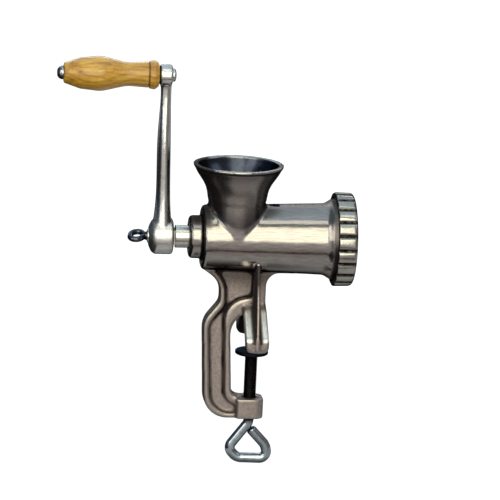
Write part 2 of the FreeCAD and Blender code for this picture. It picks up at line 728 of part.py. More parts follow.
def make_grip():
    """Turned wooden grip on a slotted screw, with its washer and nut."""
    line = "size.axis_z + size.crank_radius"
    grip = new_body("grip_body", line)
    sketch = new_sketch(grip, "grip_outline", "XZ_Plane")
    end = "size.grip_end"
    far = "size.grip_end + size.grip_length"
    outline(sketch, [
        (end, "size.grip_bore_r"),
        (end, "8.9", "1.6"),
        (end + " + 15", "14", "18"),
        (end + " + 33", "15.8", "24"),
        (end + " + 56", "10.4", "30"),
        (far + " - 9.4", "11.6", "2"),
        (far + " - 9", "10.6"),
        (far + " - 8.4", "12.2", "2"),
        (far + " - 3.6", "13.3", "3"),
        (far, "10.4", "1.5"),
        (far, "size.grip_bore_r"),
    ])
    turn(grip, "grip_turned", sketch)
    piece(grip, "wooden_grip")
    ring("grip_washer_body", "grip_washer", "size.top_boss_out - 0.9", "size.top_boss_out",
         "8", "size.spindle_r", line)

    screw = new_body("handle_screw_body", line)
    under = "size.grip_end - 0.2"
    sketch = new_sketch(screw, "handle_screw_outline", "XZ_Plane")
    outline(sketch, [
        (under + " - size.head_tall", "0"),
        (under + " - size.head_tall", "size.head_r", "5"),
        (under, "size.head_r", "0.4"),
        (under, "size.spindle_r"),
        ("size.top_boss_in + 3.4", "size.spindle_r", "1"),
        ("size.top_boss_in + 3.4", "0"),
    ])
    turn(screw, "handle_screw_turned", sketch)
    slot = new_sketch(screw, "slot_face", "YZ_Plane", under + " - size.head_tall - 1")
    slot.AttachmentOffset = FreeCAD.Placement(V(0, 0, 0), FreeCAD.Rotation(V(0, 0, 1), 35))
    outline(slot, [("-9", "-0.8"), ("9", "-0.8"), ("9", "0.8"), ("-9", "0.8")])
    pocket(screw, "slot", slot, "3", back=True)
    piece(screw, "handle_screw")

    nut = new_body("handle_nut_body", line)
    sketch = new_sketch(nut, "handle_nut_outline", "XZ_Plane")
    outline(sketch, [
        ("size.top_boss_in", "size.spindle_r + 0.05"),
        ("size.top_boss_in", "5.9", "0.5"),
        ("size.top_boss_in + 3", "5.9", "1.6"),
        ("size.top_boss_in + 3", "size.spindle_r + 0.05"),
    ])
    turn(nut, "handle_nut_turned", sketch)
    piece(nut, "handle_nut")


def make_clamp():
    """Clamp screw with its bent loop handle, and the disc that swivels on its top end."""
    screw = new_body("clamp_screw_body")
    under_pad = "size.pad_top - size.pad_thick"
    sketch = new_sketch(screw, "clamp_screw_outline", "XZ_Plane")
    outline(sketch, [
        ("0", "size.pad_top - 0.2"),
        ("5.2", "size.pad_top - 0.2", "1"),
        ("5.2", "size.pad_top - 1.6"),
        ("size.pad_neck_r", "size.pad_top - 1.6"),
        ("size.pad_neck_r", under_pad + " - 0.2"),
        ("size.screw_r", under_pad + " - 0.2", "0.8"),
        ("size.screw_r", "size.frame_foot - 1.6"),
        ("size.rod_r - 0.4", "size.frame_foot - 3.4"),
        ("0", "size.frame_foot - 3.4"),
    ])
    turn(screw, "clamp_screw_turned", sketch, "Z_Axis")
    path = new_sketch(screw, "loop_path", "XZ_Plane")
    drop = "size.frame_foot"
    outline(path, [
        ("0", drop + " + 4"),
        ("0", drop + " - 5.8", "8"),
        ("-18", drop + " - 29.8", "7"),
        ("-9.5", drop + " - 38.8", "10"),
        ("18.8", drop + " - 39.5", "6.2"),
        ("16.2", drop + " - 26.8", "12"),
        ("2", drop + " - 11.6"),
    ], closed=False)
    section = new_sketch(screw, "loop_section", "XY_Plane", drop + " + 4")
    circle(section, "size.rod_r")
    loop = screw.newObject("PartDesign::AdditivePipe", "loop")
    loop.Profile = section
    loop.Spine = path
    screw.Tip = loop
    piece(screw, "clamp_screw")

    pad_body = new_body("clamp_pad_body")
    sketch = new_sketch(pad_body, "clamp_pad_outline", "XZ_Plane")
    outline(sketch, [
        ("size.pad_neck_r + 0.06", under_pad),
        ("size.pad_r", under_pad, "1"),
        ("size.pad_r", "size.pad_top", "1"),
        ("6.2", "size.pad_top"),
        ("6.2", "size.pad_top - 1.8"),
        ("size.pad_neck_r + 0.06", "size.pad_top - 1.8"),
    ])
    turn(pad_body, "clamp_pad_turned", sketch, "Z_Axis")
    piece(pad_body, "clamp_pad")


make_casting()
make_auger()
ring("thrust_washer_body", "thrust_washer", "size.chamber_back + 0.3", "size.chamber_back + 1.3",
     "16", "size.shaft_r", "size.axis_z")
make_cutting_set()
make_ring_nut()
make_crank()
make_crank_screw()
make_grip()
make_clamp()
doc.recompute()

failed = [o.Name for o in doc.Objects if {"Invalid", "Error"} & set(o.State)]
if failed:
    raise SystemExit("failed: " + ", ".join(failed))
os.makedirs("parts", exist_ok=True)
for obj in PIECES:
    if obj.Shape.isNull() or not obj.Shape.isValid():
        raise SystemExit("no valid shape: " + obj.Label)
    obj.Shape.exportStep(f"parts/{obj.Label}.step")
    print(obj.Label, len(obj.Shape.Solids), round(obj.Shape.Volume))
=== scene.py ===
"""Looks of a clamp-on, hand cranked meat grinder, laid out as a Blender add-on and run as a script."""

from functools import partial
import math

import bmesh
import bpy
import numpy as np
from mathutils import Matrix, Vector


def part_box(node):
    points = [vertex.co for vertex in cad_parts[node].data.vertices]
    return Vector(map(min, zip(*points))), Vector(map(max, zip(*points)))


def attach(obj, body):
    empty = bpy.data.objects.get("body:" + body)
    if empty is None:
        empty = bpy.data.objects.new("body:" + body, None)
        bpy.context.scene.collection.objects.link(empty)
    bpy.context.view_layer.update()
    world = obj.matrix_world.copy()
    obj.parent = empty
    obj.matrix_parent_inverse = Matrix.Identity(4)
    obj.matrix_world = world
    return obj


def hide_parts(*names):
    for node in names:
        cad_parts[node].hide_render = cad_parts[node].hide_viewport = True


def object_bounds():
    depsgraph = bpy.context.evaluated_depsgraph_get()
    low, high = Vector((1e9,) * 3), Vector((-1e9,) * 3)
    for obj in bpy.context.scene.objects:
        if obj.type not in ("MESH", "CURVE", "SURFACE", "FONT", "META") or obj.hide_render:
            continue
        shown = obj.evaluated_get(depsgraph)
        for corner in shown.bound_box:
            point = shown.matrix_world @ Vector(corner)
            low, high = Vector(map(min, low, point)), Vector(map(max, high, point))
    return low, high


bl_info = {
    "name": "Meat grinder",
    "version": (1, 0, 0),
    "blender": (4, 5, 0),
    "location": "3D View > Sidebar > Grinder",
    "description": "Dresses the packed meat grinder: cast surfaces, threads, wood, lights and camera",
    "category": "Add Mesh",
}

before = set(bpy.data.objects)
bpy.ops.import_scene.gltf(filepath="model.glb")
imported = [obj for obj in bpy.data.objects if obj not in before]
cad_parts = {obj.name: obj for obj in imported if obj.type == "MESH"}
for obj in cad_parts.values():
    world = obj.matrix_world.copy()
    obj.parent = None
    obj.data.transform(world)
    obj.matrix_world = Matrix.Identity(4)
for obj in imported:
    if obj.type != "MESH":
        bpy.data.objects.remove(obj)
CAD_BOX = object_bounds()
MM = 0.001


def reach(node):
    """Lowest and highest corner of a CAD node, in millimetres."""
    low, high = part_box(node)
    return np.array(low) / MM, np.array(high) / MM


# Driving places in millimetres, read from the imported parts.
CASTING_LOW, CASTING_HIGH = reach("body_casting")
WASHER_LOW, WASHER_HIGH = reach("thrust_washer")
RING_LOW, RING_HIGH = reach("ring_nut")
GRIP_LOW, GRIP_HIGH = reach("wooden_grip")
PAD_LOW, PAD_HIGH = reach("clamp_pad")
AXIS_Z = (WASHER_LOW[2] + WASHER_HIGH[2]) / 2
CRANK_WASHER_X = reach("crank_screw_washer")[0][0]
GRIP_Z = (GRIP_LOW[2] + GRIP_HIGH[2]) / 2
FRAME_FOOT = CASTING_LOW[2]
HOPPER_RIM = CASTING_HIGH[2]
GRIP_GROOVE = GRIP_HIGH[0] - 9
# Sizes of the casting that no box gives, in millimetres.
HOPPER_X = -19.3
BARREL_RADIUS = 31.0
CHAMBER_BACK = -44.0
TOE_TOP = 12.0
WEB_HALF = 1.6


# Numbers


def linear(code):
    """A linear RGBA colour from an sRGB hex code, by the sRGB curve."""
    value = np.array([int(code[i:i + 2], 16) for i in (1, 3, 5)]) / 255
    out = np.where(value <= 0.04045, value / 12.92, ((value + 0.055) / 1.055) ** 2.4)
    return (*out.tolist(), 1.0)


def bent(corners):
    """A fine polyline along straight runs with rounded corners, each corner (x, y, radius) in millimetres.

    A corner's arc touches its two runs at the radius times the tangent of half the turn from the corner.
    """
    spots = np.array([corner[:2] for corner in corners], float)
    runs = np.diff(spots, axis=0)
    ways = runs / np.linalg.norm(runs, axis=1)[:, None]
    pieces = [spots[:1]]
    for corner, before, after in zip(corners[1:-1], ways, ways[1:]):
        radius = corner[2] if len(corner) > 2 else 0.0
        turn = math.atan2(before[0] * after[1] - before[1] * after[0], before @ after)
        start = np.array(corner[:2]) - before * radius * math.tan(abs(turn) / 2)
        arm = math.copysign(radius, turn) * np.array([before[1], -before[0]])
        angles = np.linspace(0, turn, max(2, math.ceil(abs(turn) / 0.06)))[:, None]
        swung = arm * np.cos(angles) + np.array([-arm[1], arm[0]]) * np.sin(angles)
        pieces.append(start - arm + swung)
    pieces.append(spots[-1:])
    return np.concatenate(pieces)


def stations(path):
    """Length along a polyline at each of its points."""
    return np.concatenate([[0], np.cumsum(np.linalg.norm(np.diff(path, axis=0), axis=1))])


def at_lengths(path, lengths):
    """Points of a polyline at the given lengths along it, by straight interpolation."""
    run = stations(path)
    return np.stack([np.interp(lengths, run, path[:, k]) for k in range(path.shape[1])], axis=1)


def evenly(path, step):
    """The polyline again, in equal steps of about the given length."""
    total = stations(path)[-1]
    return at_lengths(path, np.linspace(0, total, math.ceil(total / step) + 1))


def around(count):
    """Angles of a full turn, in equal steps, without the last."""
    return np.arange(count) / count * 2 * math.pi


# Surfaces


def join_grids(name, grids):
    """One mesh from grids of points in millimetres, each round on its second way and closed at its ends.

    Neighbouring points make a face. Doubles are merged, which closes poles and seams, and faces turn out.
    """
    vertices, faces = [], []
    start = 0
    for grid in grids:
        rows, columns = grid.shape[:2]
        index = start + np.arange(rows * columns).reshape(rows, columns)
        index = np.hstack([index, index[:, :1]])
        cells = np.stack([index[:-1, :-1], index[:-1, 1:], index[1:, 1:], index[1:, :-1]], axis=-1)
        vertices.append(grid.reshape(-1, 3) * MM)
        faces.append(cells.reshape(-1, 4))
        start += rows * columns
    mesh = bpy.data.meshes.new(name)
    mesh.from_pydata(np.concatenate(vertices).tolist(), [], np.concatenate(faces).tolist())
    weld(mesh, turn_out=True)
    mesh.shade_smooth()
    return mesh


def weld(mesh, turn_out=False):
    """Merges doubled points, and turns the faces outwards where asked."""
    form = bmesh.new()
    form.from_mesh(mesh)
    bmesh.ops.remove_doubles(form, verts=form.verts, dist=2e-7)
    if turn_out:
        bmesh.ops.recalc_face_normals(form, faces=form.faces)
    form.to_mesh(mesh)
    form.free()


def turned(profile, sides, height=0.0, upright=False, radius_at=None):
    """A grid of a surface of revolution: each profile point (along, radius) goes round the axis.

    The axis runs along X at the given height, or along Z. radius_at(radius, angles) may ripple the radius.
    """
    angles = around(sides)[None, :]
    along = np.broadcast_to(profile[:, :1], (len(profile), sides))
    radius = np.broadcast_to(profile[:, 1:2], (len(profile), sides))
    if radius_at is not None:
        radius = radius_at(radius, angles)
    if upright:
        return np.stack([radius * np.cos(angles), radius * np.sin(angles), along], axis=-1)
    return np.stack([along, radius * np.cos(angles), height + radius * np.sin(angles)], axis=-1)


def carried(path, radius):
    """A grid of circles carried along a path in the XZ plane; radius is a number for each point and angle.

    Each circle stands square to the path: it is spanned by Y and by the path's normal in its plane.
    """
    way = np.gradient(path, axis=0)
    way /= np.linalg.norm(way, axis=1)[:, None]
    angles = around(radius.shape[1])[None, :]
    out, side = radius * np.cos(angles), radius * np.sin(angles)
    return np.stack([path[:, :1] + out * way[:, 1:2], side, path[:, 1:2] - out * way[:, :1]], axis=-1)


def softened(node, name, grain, passes):
    """A welded copy of a CAD node, remeshed in cubes of the grain's size and relaxed, as castings are round.

    Each pass moves a point half way to the mean of its neighbours.
    """
    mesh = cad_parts[node].data.copy()
    weld(mesh)
    helper = bpy.data.objects.new(name + "_helper", mesh)
    bpy.context.scene.collection.objects.link(helper)
    remesh = helper.modifiers.new("remesh", "REMESH")
    remesh.mode = "VOXEL"
    remesh.voxel_size = grain
    relax = helper.modifiers.new("relax", "SMOOTH")
    relax.factor = 0.5
    relax.iterations = passes
    seen = helper.evaluated_get(bpy.context.evaluated_depsgraph_get())
    result = bpy.data.meshes.new_from_object(seen)
    result.name = name
    bpy.data.objects.remove(helper)
    bpy.data.meshes.remove(mesh)
    result.materials.clear()
    result.shade_smooth()
    return result


def points_of(mesh):
    """The points of a mesh in millimetres, and its point normals."""
    count = len(mesh.vertices)
    points, normals = np.empty(count * 3), np.empty(count * 3)
    mesh.vertices.foreach_get("co", points)
    mesh.vertices.foreach_get("normal", normals)
    return points.reshape(-1, 3) / MM, normals.reshape(-1, 3)


def store(mesh, name, values):
    """Keeps a number for each point of a mesh as an attribute."""
    mesh.attributes.new(name, "FLOAT", "POINT").data.foreach_set("value", values.astype(np.float32))


def hollows(mesh, rounds):
    """How deep each point lies, in millimetres: how far its surroundings' mean stands out along its normal.

    The mean is reached by averaging each point with its neighbours again and again.
    """
    points, normals = points_of(mesh)
    edges = np.empty(len(mesh.edges) * 2, np.int64)
    mesh.edges.foreach_get("vertices", edges)
    one, other = edges.reshape(-1, 2).T
    count = len(points)
    degree = np.bincount(edges, minlength=count)[:, None]
    mean = points
    for _ in range(rounds):
        sums = [np.bincount(one, mean[other, k], count) + np.bincount(other, mean[one, k], count)
                for k in range(3)]
        mean = np.stack(sums, axis=1) / degree
    return ((mean - points) * normals).sum(axis=1)


def smooth_step(value, low, high):
    """0 below low, 1 above high, and an S curve between."""
    t = np.clip((value - low) / (high - low), 0, 1)
    return t * t * (3 - 2 * t)


# Nodes


def add_node(tree, kind, sockets=None, out=0, stops=(), **settings):
    """Adds a node with its settings, links and ramp stops, and gives one output, or for None all of them.

    A socket, by name or number, takes another node's output, a number or a colour, and a hex code stands for
    its colour. The first five of a Map Range are the value, the range it comes from and that it goes to.
    """
    node = tree.nodes.new("ShaderNode" + kind)
    for name, value in settings.items():
        setattr(node, name, value)
    for name, value in (sockets or {}).items():
        if isinstance(value, bpy.types.NodeSocket):
            tree.links.new(value, node.inputs[name])
        else:
            node.inputs[name].default_value = linear(value) if isinstance(value, str) else value
    if stops:
        elements = node.color_ramp.elements
        for _ in stops[2:]:
            elements.new(0.5)
        for element, (position, colour) in zip(elements, stops):
            element.position = position
            element.color = linear(colour) if isinstance(colour, str) else colour
    return node.outputs if out is None else node.outputs[out]


def new_material(name):
    """A node material, the function that adds its nodes, and the Object coordinates of its patterns."""
    material = bpy.data.materials.new(name)
    material.use_nodes = True
    material.node_tree.nodes.clear()
    add = partial(add_node, material.node_tree)
    return material, add, add("TexCoord", out="Object")


def scale_of(size):
    """The Scale of a noise whose features are about this many millimetres: one over the size in metres."""
    return 1 / (size * MM)


# Materials


def hot_tinned_iron(colours):
    """Grey cast iron, hot tinned: barrel polished, hopper brushed, and a frame that keeps the sand's skin.

    The mesh says where: "polish" on barrel and hopper, "brushed" on the hopper's outside, "bore" inside the
    hopper and the chamber, which painted shade darkens, "grime_and_shade" for painted shade in corners, under
    the barrel and on the legs' inner faces, "bright" for a painted highlight on the legs and along the rim,
    and
    "satin" where it looks up, all from 0 to 1, and "hollow", a depth in millimetres. Dirt and painted shade
    darken hollows, and wear brightens beads.
    """
    material, add, place = new_material("hot tinned cast iron")
    polish, brushed, bore, grime_and_shade, bright, satin, hollow = (
        add("Attribute", out="Fac", attribute_name=name)
        for name in ("polish", "brushed", "bore", "grime_and_shade", "bright", "satin", "hollow"))
    height = add("SeparateXYZ", {0: place}, out="Z")

    # Sand of some 0.3 mm leaves the skin's grain, and a brush of some 0.1 mm the streaks along X. Both are
    # too fine to show in the render, so the grain is drawn at 1.1 and 2.2 mm, and the streaks 1 mm wide.
    drawn_out = add("Mapping", {"Vector": place, "Scale": (0.08, 1, 1)})
    grain, mottle, streaks, waves, clouds = (
        add("TexNoise", {"Vector": spot, "Scale": scale_of(size), "Detail": detail, "Roughness": rough})
        for spot, size, detail, rough in (
            (place, 1.1, 4, 0.6), (place, 2.2, 5, 0.65), (drawn_out, 1, 5, 0.65), (place, 9, 2, 0.55),
            (place, 17, 3, 0.55)))

    skin = add("ValToRGB", {0: mottle}, stops=[(0.3, "#807673"), (0.5, colours.skin), (0.72, "#a19692")])
    tin_tone = add("MapRange", {0: streaks, 1: 0.35, 2: 0.7})
    tin = add("Mix", {0: tin_tone, 6: "#807b78", 7: colours.tin}, out=2, data_type="RGBA")
    # Patina and painted shade on the hopper change with the height over the table, darker towards the V below
    # and towards the rim, and the streaks darken them.
    up = add("MapRange", {0: height, 1: 100 * MM, 2: 170 * MM})
    patina_and_shade = add("ValToRGB", {0: up}, stops=[
        (0.0, "#544f50"), (0.22, "#575253"), (0.5, "#918c8a"), (0.72, "#8e8986"), (0.88, "#6b6768")])
    streak_tone = add("MapRange", {0: streaks, 1: 0.3, 2: 0.7, 3: 0.35, 4: 0.0})
    patina_and_shade = add("Mix", {0: streak_tone, 6: patina_and_shade, 7: "#3a3638"}, out=2, data_type="RGBA")
    # Painted shade inside the hopper's bore and the chamber, a dark bluish grey
    bore_shade = add("ValToRGB", {0: clouds}, stops=[(0.3, "#2b2f39"), (0.7, "#3f4450")])

    worn = add("MapRange", {0: hollow, 1: -0.08, 2: -0.35})
    on_frame = add("MapRange", {0: polish, 3: 0.5, 4: 0.0})
    frame_worn = add("Math", {0: worn, 1: on_frame}, operation="MULTIPLY")
    # Dirt and painted shade lie in the hollows, painted shade where grime_and_shade says, and a painted
    # shadow in the corner under the hopper's rim.
    over = add("MapRange", {0: height, 1: (HOPPER_RIM - 4.3) * MM, 2: (HOPPER_RIM - 3.5) * MM})
    under = add("MapRange", {0: height, 1: (HOPPER_RIM - 2.1) * MM, 2: (HOPPER_RIM - 2.7) * MM})
    corner = add("Math", {0: over, 1: under}, operation="MULTIPLY")
    corner = add("Math", {0: corner, 1: brushed}, operation="MULTIPLY")
    dirt_and_shade = add("MapRange", {0: hollow, 1: 0.2, 2: 0.5})
    for other in (grime_and_shade, corner):
        dirt_and_shade = add("Math", {0: dirt_and_shade, 1: other}, operation="MAXIMUM")
    dirt_and_shade_share = add("Math", {0: dirt_and_shade, 1: 0.95}, operation="MULTIPLY")

    # Each coat lies over the ones before it by its share.
    colour = skin
    # The bore's coat is painted shade, the bright coat a painted highlight, and the last coat soiling and
    # painted shade
    for share, coat in ((polish, tin), (brushed, patina_and_shade), (bore, bore_shade), (frame_worn, "#a09a94"),
                        (bright, "#f4f3ec"), (dirt_and_shade_share, colours.grime_and_shade)):
        colour = add("Mix", {0: share, 6: colour, 7: coat}, out=2, data_type="RGBA")

    # Each finish adds its part to the roughness, which is low on polished tin.
    rough = add("MapRange", {0: polish, 3: 0.48, 4: 0.15})
    facing_up = add("Math", {0: satin, 1: polish}, operation="MULTIPLY")
    unbrushed = add("MapRange", {0: brushed, 3: 0.22, 4: 0.0})
    streaky = add("MapRange", {0: streaks, 1: 0.3, 2: 0.7, 3: -0.03, 4: 0.05})
    for finish, part in ((brushed, 0.13), (facing_up, unbrushed), (frame_worn, -0.28), (bright, -0.12),
                         (bore, 0.06), (dirt_and_shade, 0.3), (streaky, 1.0)):
        rough = add("Math", {0: finish, 1: part, 2: rough}, operation="MULTIPLY_ADD")

    unpolished = add("MapRange", {0: polish, 3: 1.0, 4: 0.08})
    unworn = add("MapRange", {0: worn, 3: 1.0, 4: 0.15})
    for other in (unpolished, unworn):
        grain = add("Math", {0: grain, 1: other}, operation="MULTIPLY")
    normal = add("Bump", {"Height": grain, "Distance": 0.2 * MM})
    for pattern, depth in ((streaks, 0.02), (waves, 0.08)):
        normal = add("Bump", {"Height": pattern, "Distance": depth * MM, "Normal": normal})
    shader = add("BsdfPrincipled", {"Base Color": colour, "Metallic": 1.0, "Specular Tint": "#3c4650",
                                    "Roughness": rough, "Normal": normal})
    add("OutputMaterial", {"Surface": shader}, out=None)
    return material


def tinned_ring(colours):
    """Tinned iron, fettled and worn by hands: bright lobes, and valleys between them that soiling and painted
    shade darken, with painted shade at the back.

    The mesh's "valley" says where, from 0 on a lobe to 1 in a valley and at the back.
    """
    material, add, place = new_material("bright tinned iron")
    # File marks, some 0.3 mm apart in truth, are drawn at 2.2 mm so that they show.
    clouds, waves, patches, smudges, filed = (
        add("TexNoise", {"Vector": place, "Scale": scale_of(size), "Detail": detail, "Roughness": rough})
        for size, detail, rough in (
            (8, 4, 0.55), (8, 2, 0.55), (3, 3, 0.55), (3, 4, 0.55), (2.2, 4, 0.6)))
    colour = add("ValToRGB", {0: clouds}, stops=[(0.3, "#918e89"), (0.7, colours.ring)])
    kept = add("MapRange", {0: patches, 1: 0.3, 2: 0.6, 3: 0.8, 4: 1.0})
    # Soiling and painted shade darken the valleys, in patches, and painted shade the back
    valley = add("Attribute", out="Fac", attribute_name="valley")
    dirt_and_shade = add("Math", {0: valley, 1: kept}, operation="MULTIPLY")
    colour = add("Mix", {0: dirt_and_shade, 6: colour, 7: "#0d0c11"}, out=2, data_type="RGBA")
    rough = add("MapRange", {0: smudges, 1: 0.3, 2: 0.7, 3: 0.12, 4: 0.22})
    rough = add("Math", {0: dirt_and_shade, 1: 0.3, 2: rough}, operation="MULTIPLY_ADD")
    normal = add("Bump", {"Height": filed, "Distance": 0.04 * MM})
    normal = add("Bump", {"Height": waves, "Distance": 0.1 * MM, "Normal": normal})
    shader = add("BsdfPrincipled", {"Base Color": colour, "Metallic": 1.0, "Specular Tint": "#262f38",
                                    "Roughness": rough, "Normal": normal})
    add("OutputMaterial", {"Surface": shader}, out=None)
    return material


def polished_tin(colours):
    """Polished, tinned iron of the crank: slow waves of a hand-finished casting, and a satin hub."""
    material, add, place = new_material("polished tinned iron")
    clouds, smudges, waves = (
        add("TexNoise", {"Vector": place, "Scale": scale_of(size), "Detail": detail, "Roughness": 0.55})
        for size, detail in ((6, 4), (2.5, 5), (7, 2)))
    colour = add("ValToRGB", {0: clouds}, stops=[(0.3, "#b0afad"), (0.7, colours.crank)])
    height = add("SeparateXYZ", {0: place}, out="Z")
    hub = add("MapRange", {0: height, 1: (AXIS_Z + 30) * MM, 2: (AXIS_Z + 15) * MM, 3: 0.0, 4: 0.13})
    rough = add("MapRange", {0: smudges, 1: 0.3, 2: 0.7, 3: 0.16, 4: 0.26})
    rough = add("Math", {0: rough, 1: hub}, operation="ADD")
    normal = add("Bump", {"Height": waves, "Distance": 0.12 * MM})
    shader = add("BsdfPrincipled", {"Base Color": colour, "Metallic": 1.0, "Specular Tint": "#1a222c",
                                    "Roughness": rough, "Normal": normal})
    add("OutputMaterial", {"Surface": shader}, out=None)
    return material


def turned_steel(name, colour, rough):
    """Turned or ground steel: tool marks round the axis vary its tone and its gloss."""
    material, add, place = new_material(name)
    # A lathe's marks, some 0.1 mm apart in truth, are drawn a third of a millimetre wide and 2 mm long.
    pressed = add("Mapping", {"Vector": place, "Scale": (6, 1, 1)})
    marks = add("TexNoise", {"Vector": pressed, "Scale": scale_of(2), "Detail": 4, "Roughness": 0.55})
    tone = add("ValToRGB", {0: marks}, stops=[(0.3, colour), (0.8, "#d8d8d6")])
    gloss = add("MapRange", {0: marks, 1: 0.3, 2: 0.7, 3: rough - 0.05, 4: rough + 0.07})
    normal = add("Bump", {"Height": marks, "Distance": 0.02 * MM})
    shader = add("BsdfPrincipled", {"Base Color": tone, "Metallic": 1.0, "Specular Tint": "#3a444c",
                                    "Roughness": gloss, "Normal": normal})
    add("OutputMaterial", {"Surface": shader}, out=None)
    return material


def blackened_steel(name, colour, rough):
    """Oil-blackened steel: a dark oxide skin, worn a little where it is touched."""
    material, add, place = new_material(name)
    worn = add("TexNoise", {"Vector": place, "Scale": scale_of(4), "Detail": 5, "Roughness": 0.7})
    tone = add("ValToRGB", {0: worn}, stops=[(0.62, colour), (0.8, "#5a5c62")])
    gloss = add("MapRange", {0: worn, 1: 0.3, 2: 0.7, 3: rough - 0.04, 4: rough + 0.08})
    shader = add("BsdfPrincipled", {"Base Color": tone, "Metallic": 1.0, "Specular Tint": "#a8b4c4",
                                    "Roughness": gloss})
    add("OutputMaterial", {"Surface": shader}, out=None)
    return material


def clamp_rod(colours):
    """Drawn steel rod: oiled black along the thread, bare and bluish grey on the handle below the frame."""
    material, add, place = new_material("clamp rod steel")
    height = add("SeparateXYZ", {0: place}, out="Z")
    bare = add("MapRange", {0: height, 1: (FRAME_FOOT - 2) * MM, 2: (FRAME_FOOT - 7) * MM})
    oil, clouds, smudges, waves = (
        add("TexNoise", {"Vector": place, "Scale": scale_of(size), "Detail": detail, "Roughness": rough})
        for size, detail, rough in ((5, 5, 0.7), (7, 5, 0.55), (2, 4, 0.55), (5, 3, 0.55)))
    black = add("ValToRGB", {0: oil}, stops=[(0.4, "#1b1a1d"), (0.7, "#2b2523"), (0.85, "#6b5a50")])
    grey = add("ValToRGB", {0: clouds}, stops=[(0.3, "#7b848c"), (0.7, colours.handle)])
    colour = add("Mix", {0: bare, 6: black, 7: grey}, out=2, data_type="RGBA")
    smudged = add("MapRange", {0: smudges, 1: 0.3, 2: 0.7, 3: -0.03, 4: 0.06})
    rough = add("MapRange", {0: bare, 3: 0.3, 4: 0.15})
    rough = add("Math", {0: rough, 1: smudged}, operation="ADD")
    normal = add("Bump", {"Height": waves, "Distance": 0.06 * MM})
    shader = add("BsdfPrincipled", {"Base Color": colour, "Metallic": 1.0, "Specular Tint": "#1c2630",
                                    "Roughness": rough, "Normal": normal})
    add("OutputMaterial", {"Surface": shader}, out=None)
    return material


def varnished_beech(colours):
    """Turned beech under clear varnish: growth rings about a pith outside the grip, flecks and dark patches.

    The rings are a sine of the distance from the pith, which runs nearly along the grip, below and behind it.
    """
    material, add, place = new_material("varnished beech")
    # Each figure is drawn out along the grip. Flecks are some 0.4 mm wide, and are drawn at 0.9 mm to show.
    wavy, wander, flecks, patches = (
        add("TexNoise", {"Vector": add("Mapping", {"Vector": place, "Scale": (drawn, 1, 1)}),
                         "Scale": scale_of(size), "Detail": detail, "Roughness": rough, "Distortion": bend})
        for drawn, size, detail, rough, bend in (
            (0.14, 4.5, 6, 0.62, 1.2), (0.3, 14, 3, 0.55, 0), (0.25, 0.9, 2, 0.55, 0),
            (0.6, 10, 2, 0.5, 0.6)))
    pith = (4 * MM, -25 * MM, (30 - GRIP_Z) * MM)
    log = add("Mapping", {"Vector": place, "Scale": (0.05, 1, 1), "Location": pith})
    from_pith = add("VectorMath", {0: log}, out="Value", operation="LENGTH")
    from_pith = add("Math", {0: wander, 1: 9 * MM, 2: from_pith}, operation="MULTIPLY_ADD")
    ring_width = 4.4 * MM
    turns = add("Math", {0: from_pith, 1: 2 * math.pi / ring_width}, operation="MULTIPLY")
    rings = add("MapRange", {0: add("Math", {0: turns}, operation="SINE"), 1: -1})
    waviness = add("Math", {0: wavy, 1: 0.89}, operation="MULTIPLY")
    figure = add("Math", {0: rings, 1: 0.11, 2: waviness}, operation="MULTIPLY_ADD")
    colour = add("ValToRGB", {0: figure}, stops=[
        (0.3, colours.beech_dark), (0.42, "#a5751b"), (0.55, "#bb8f2a"), (0.72, colours.beech_light)])

    flecked = add("MapRange", {0: flecks, 1: 0.6, 2: 0.75})
    patched = add("MapRange", {0: patches, 1: 0.6, 2: 0.72})
    along = add("SeparateXYZ", {0: place}, out="X")
    # A painted shade darkens the groove by the collar
    from_groove = add("Math", {0: along, 1: GRIP_GROOVE * MM}, operation="SUBTRACT")
    from_groove = add("Math", {0: from_groove}, operation="ABSOLUTE")
    groove_shade = add("MapRange", {0: from_groove, 1: 1.3 * MM, 2: 0.4 * MM})
    for mark, most, dark in ((flecked, 0.4, "#6d3f12"), (patched, 0.55, "#70430f"),
                             (groove_shade, 0.7, "#4a2a08")):
        share = add("Math", {0: mark, 1: most}, operation="MULTIPLY")
        colour = add("Mix", {0: share, 6: colour, 7: dark}, out=2, data_type="RGBA")
    normal = add("Bump", {"Height": wavy, "Distance": 0.05 * MM})
    shader = add("BsdfPrincipled", {
        "Base Color": colour, "Roughness": 0.5, "Coat Weight": 0.5, "Coat Roughness": 0.22, "Coat IOR": 1.5,
        "Normal": normal})
    add("OutputMaterial", {"Surface": shader}, out=None)
    return material


def red_fibre():
    """Vulcanised fibre, pressed from paper: dense, matt and brownish red, with a faint mottle."""
    material, add, place = new_material("vulcanised fibre")
    mottle = add("TexNoise", {"Vector": place, "Scale": scale_of(1.2), "Detail": 4, "Roughness": 0.55})
    colour = add("ValToRGB", {0: mottle}, stops=[(0.3, "#7a3a28"), (0.7, "#94503a")])
    normal = add("Bump", {"Height": mottle, "Distance": 0.03 * MM})
    shader = add("BsdfPrincipled", {"Base Color": colour, "Roughness": 0.6, "Normal": normal})
    add("OutputMaterial", {"Surface": shader}, out=None)
    return material


# Settings


length_property = partial(bpy.props.FloatProperty, unit="LENGTH", precision=5)
colour_property = partial(bpy.props.FloatVectorProperty, subtype="COLOR", size=4, min=0, max=1)


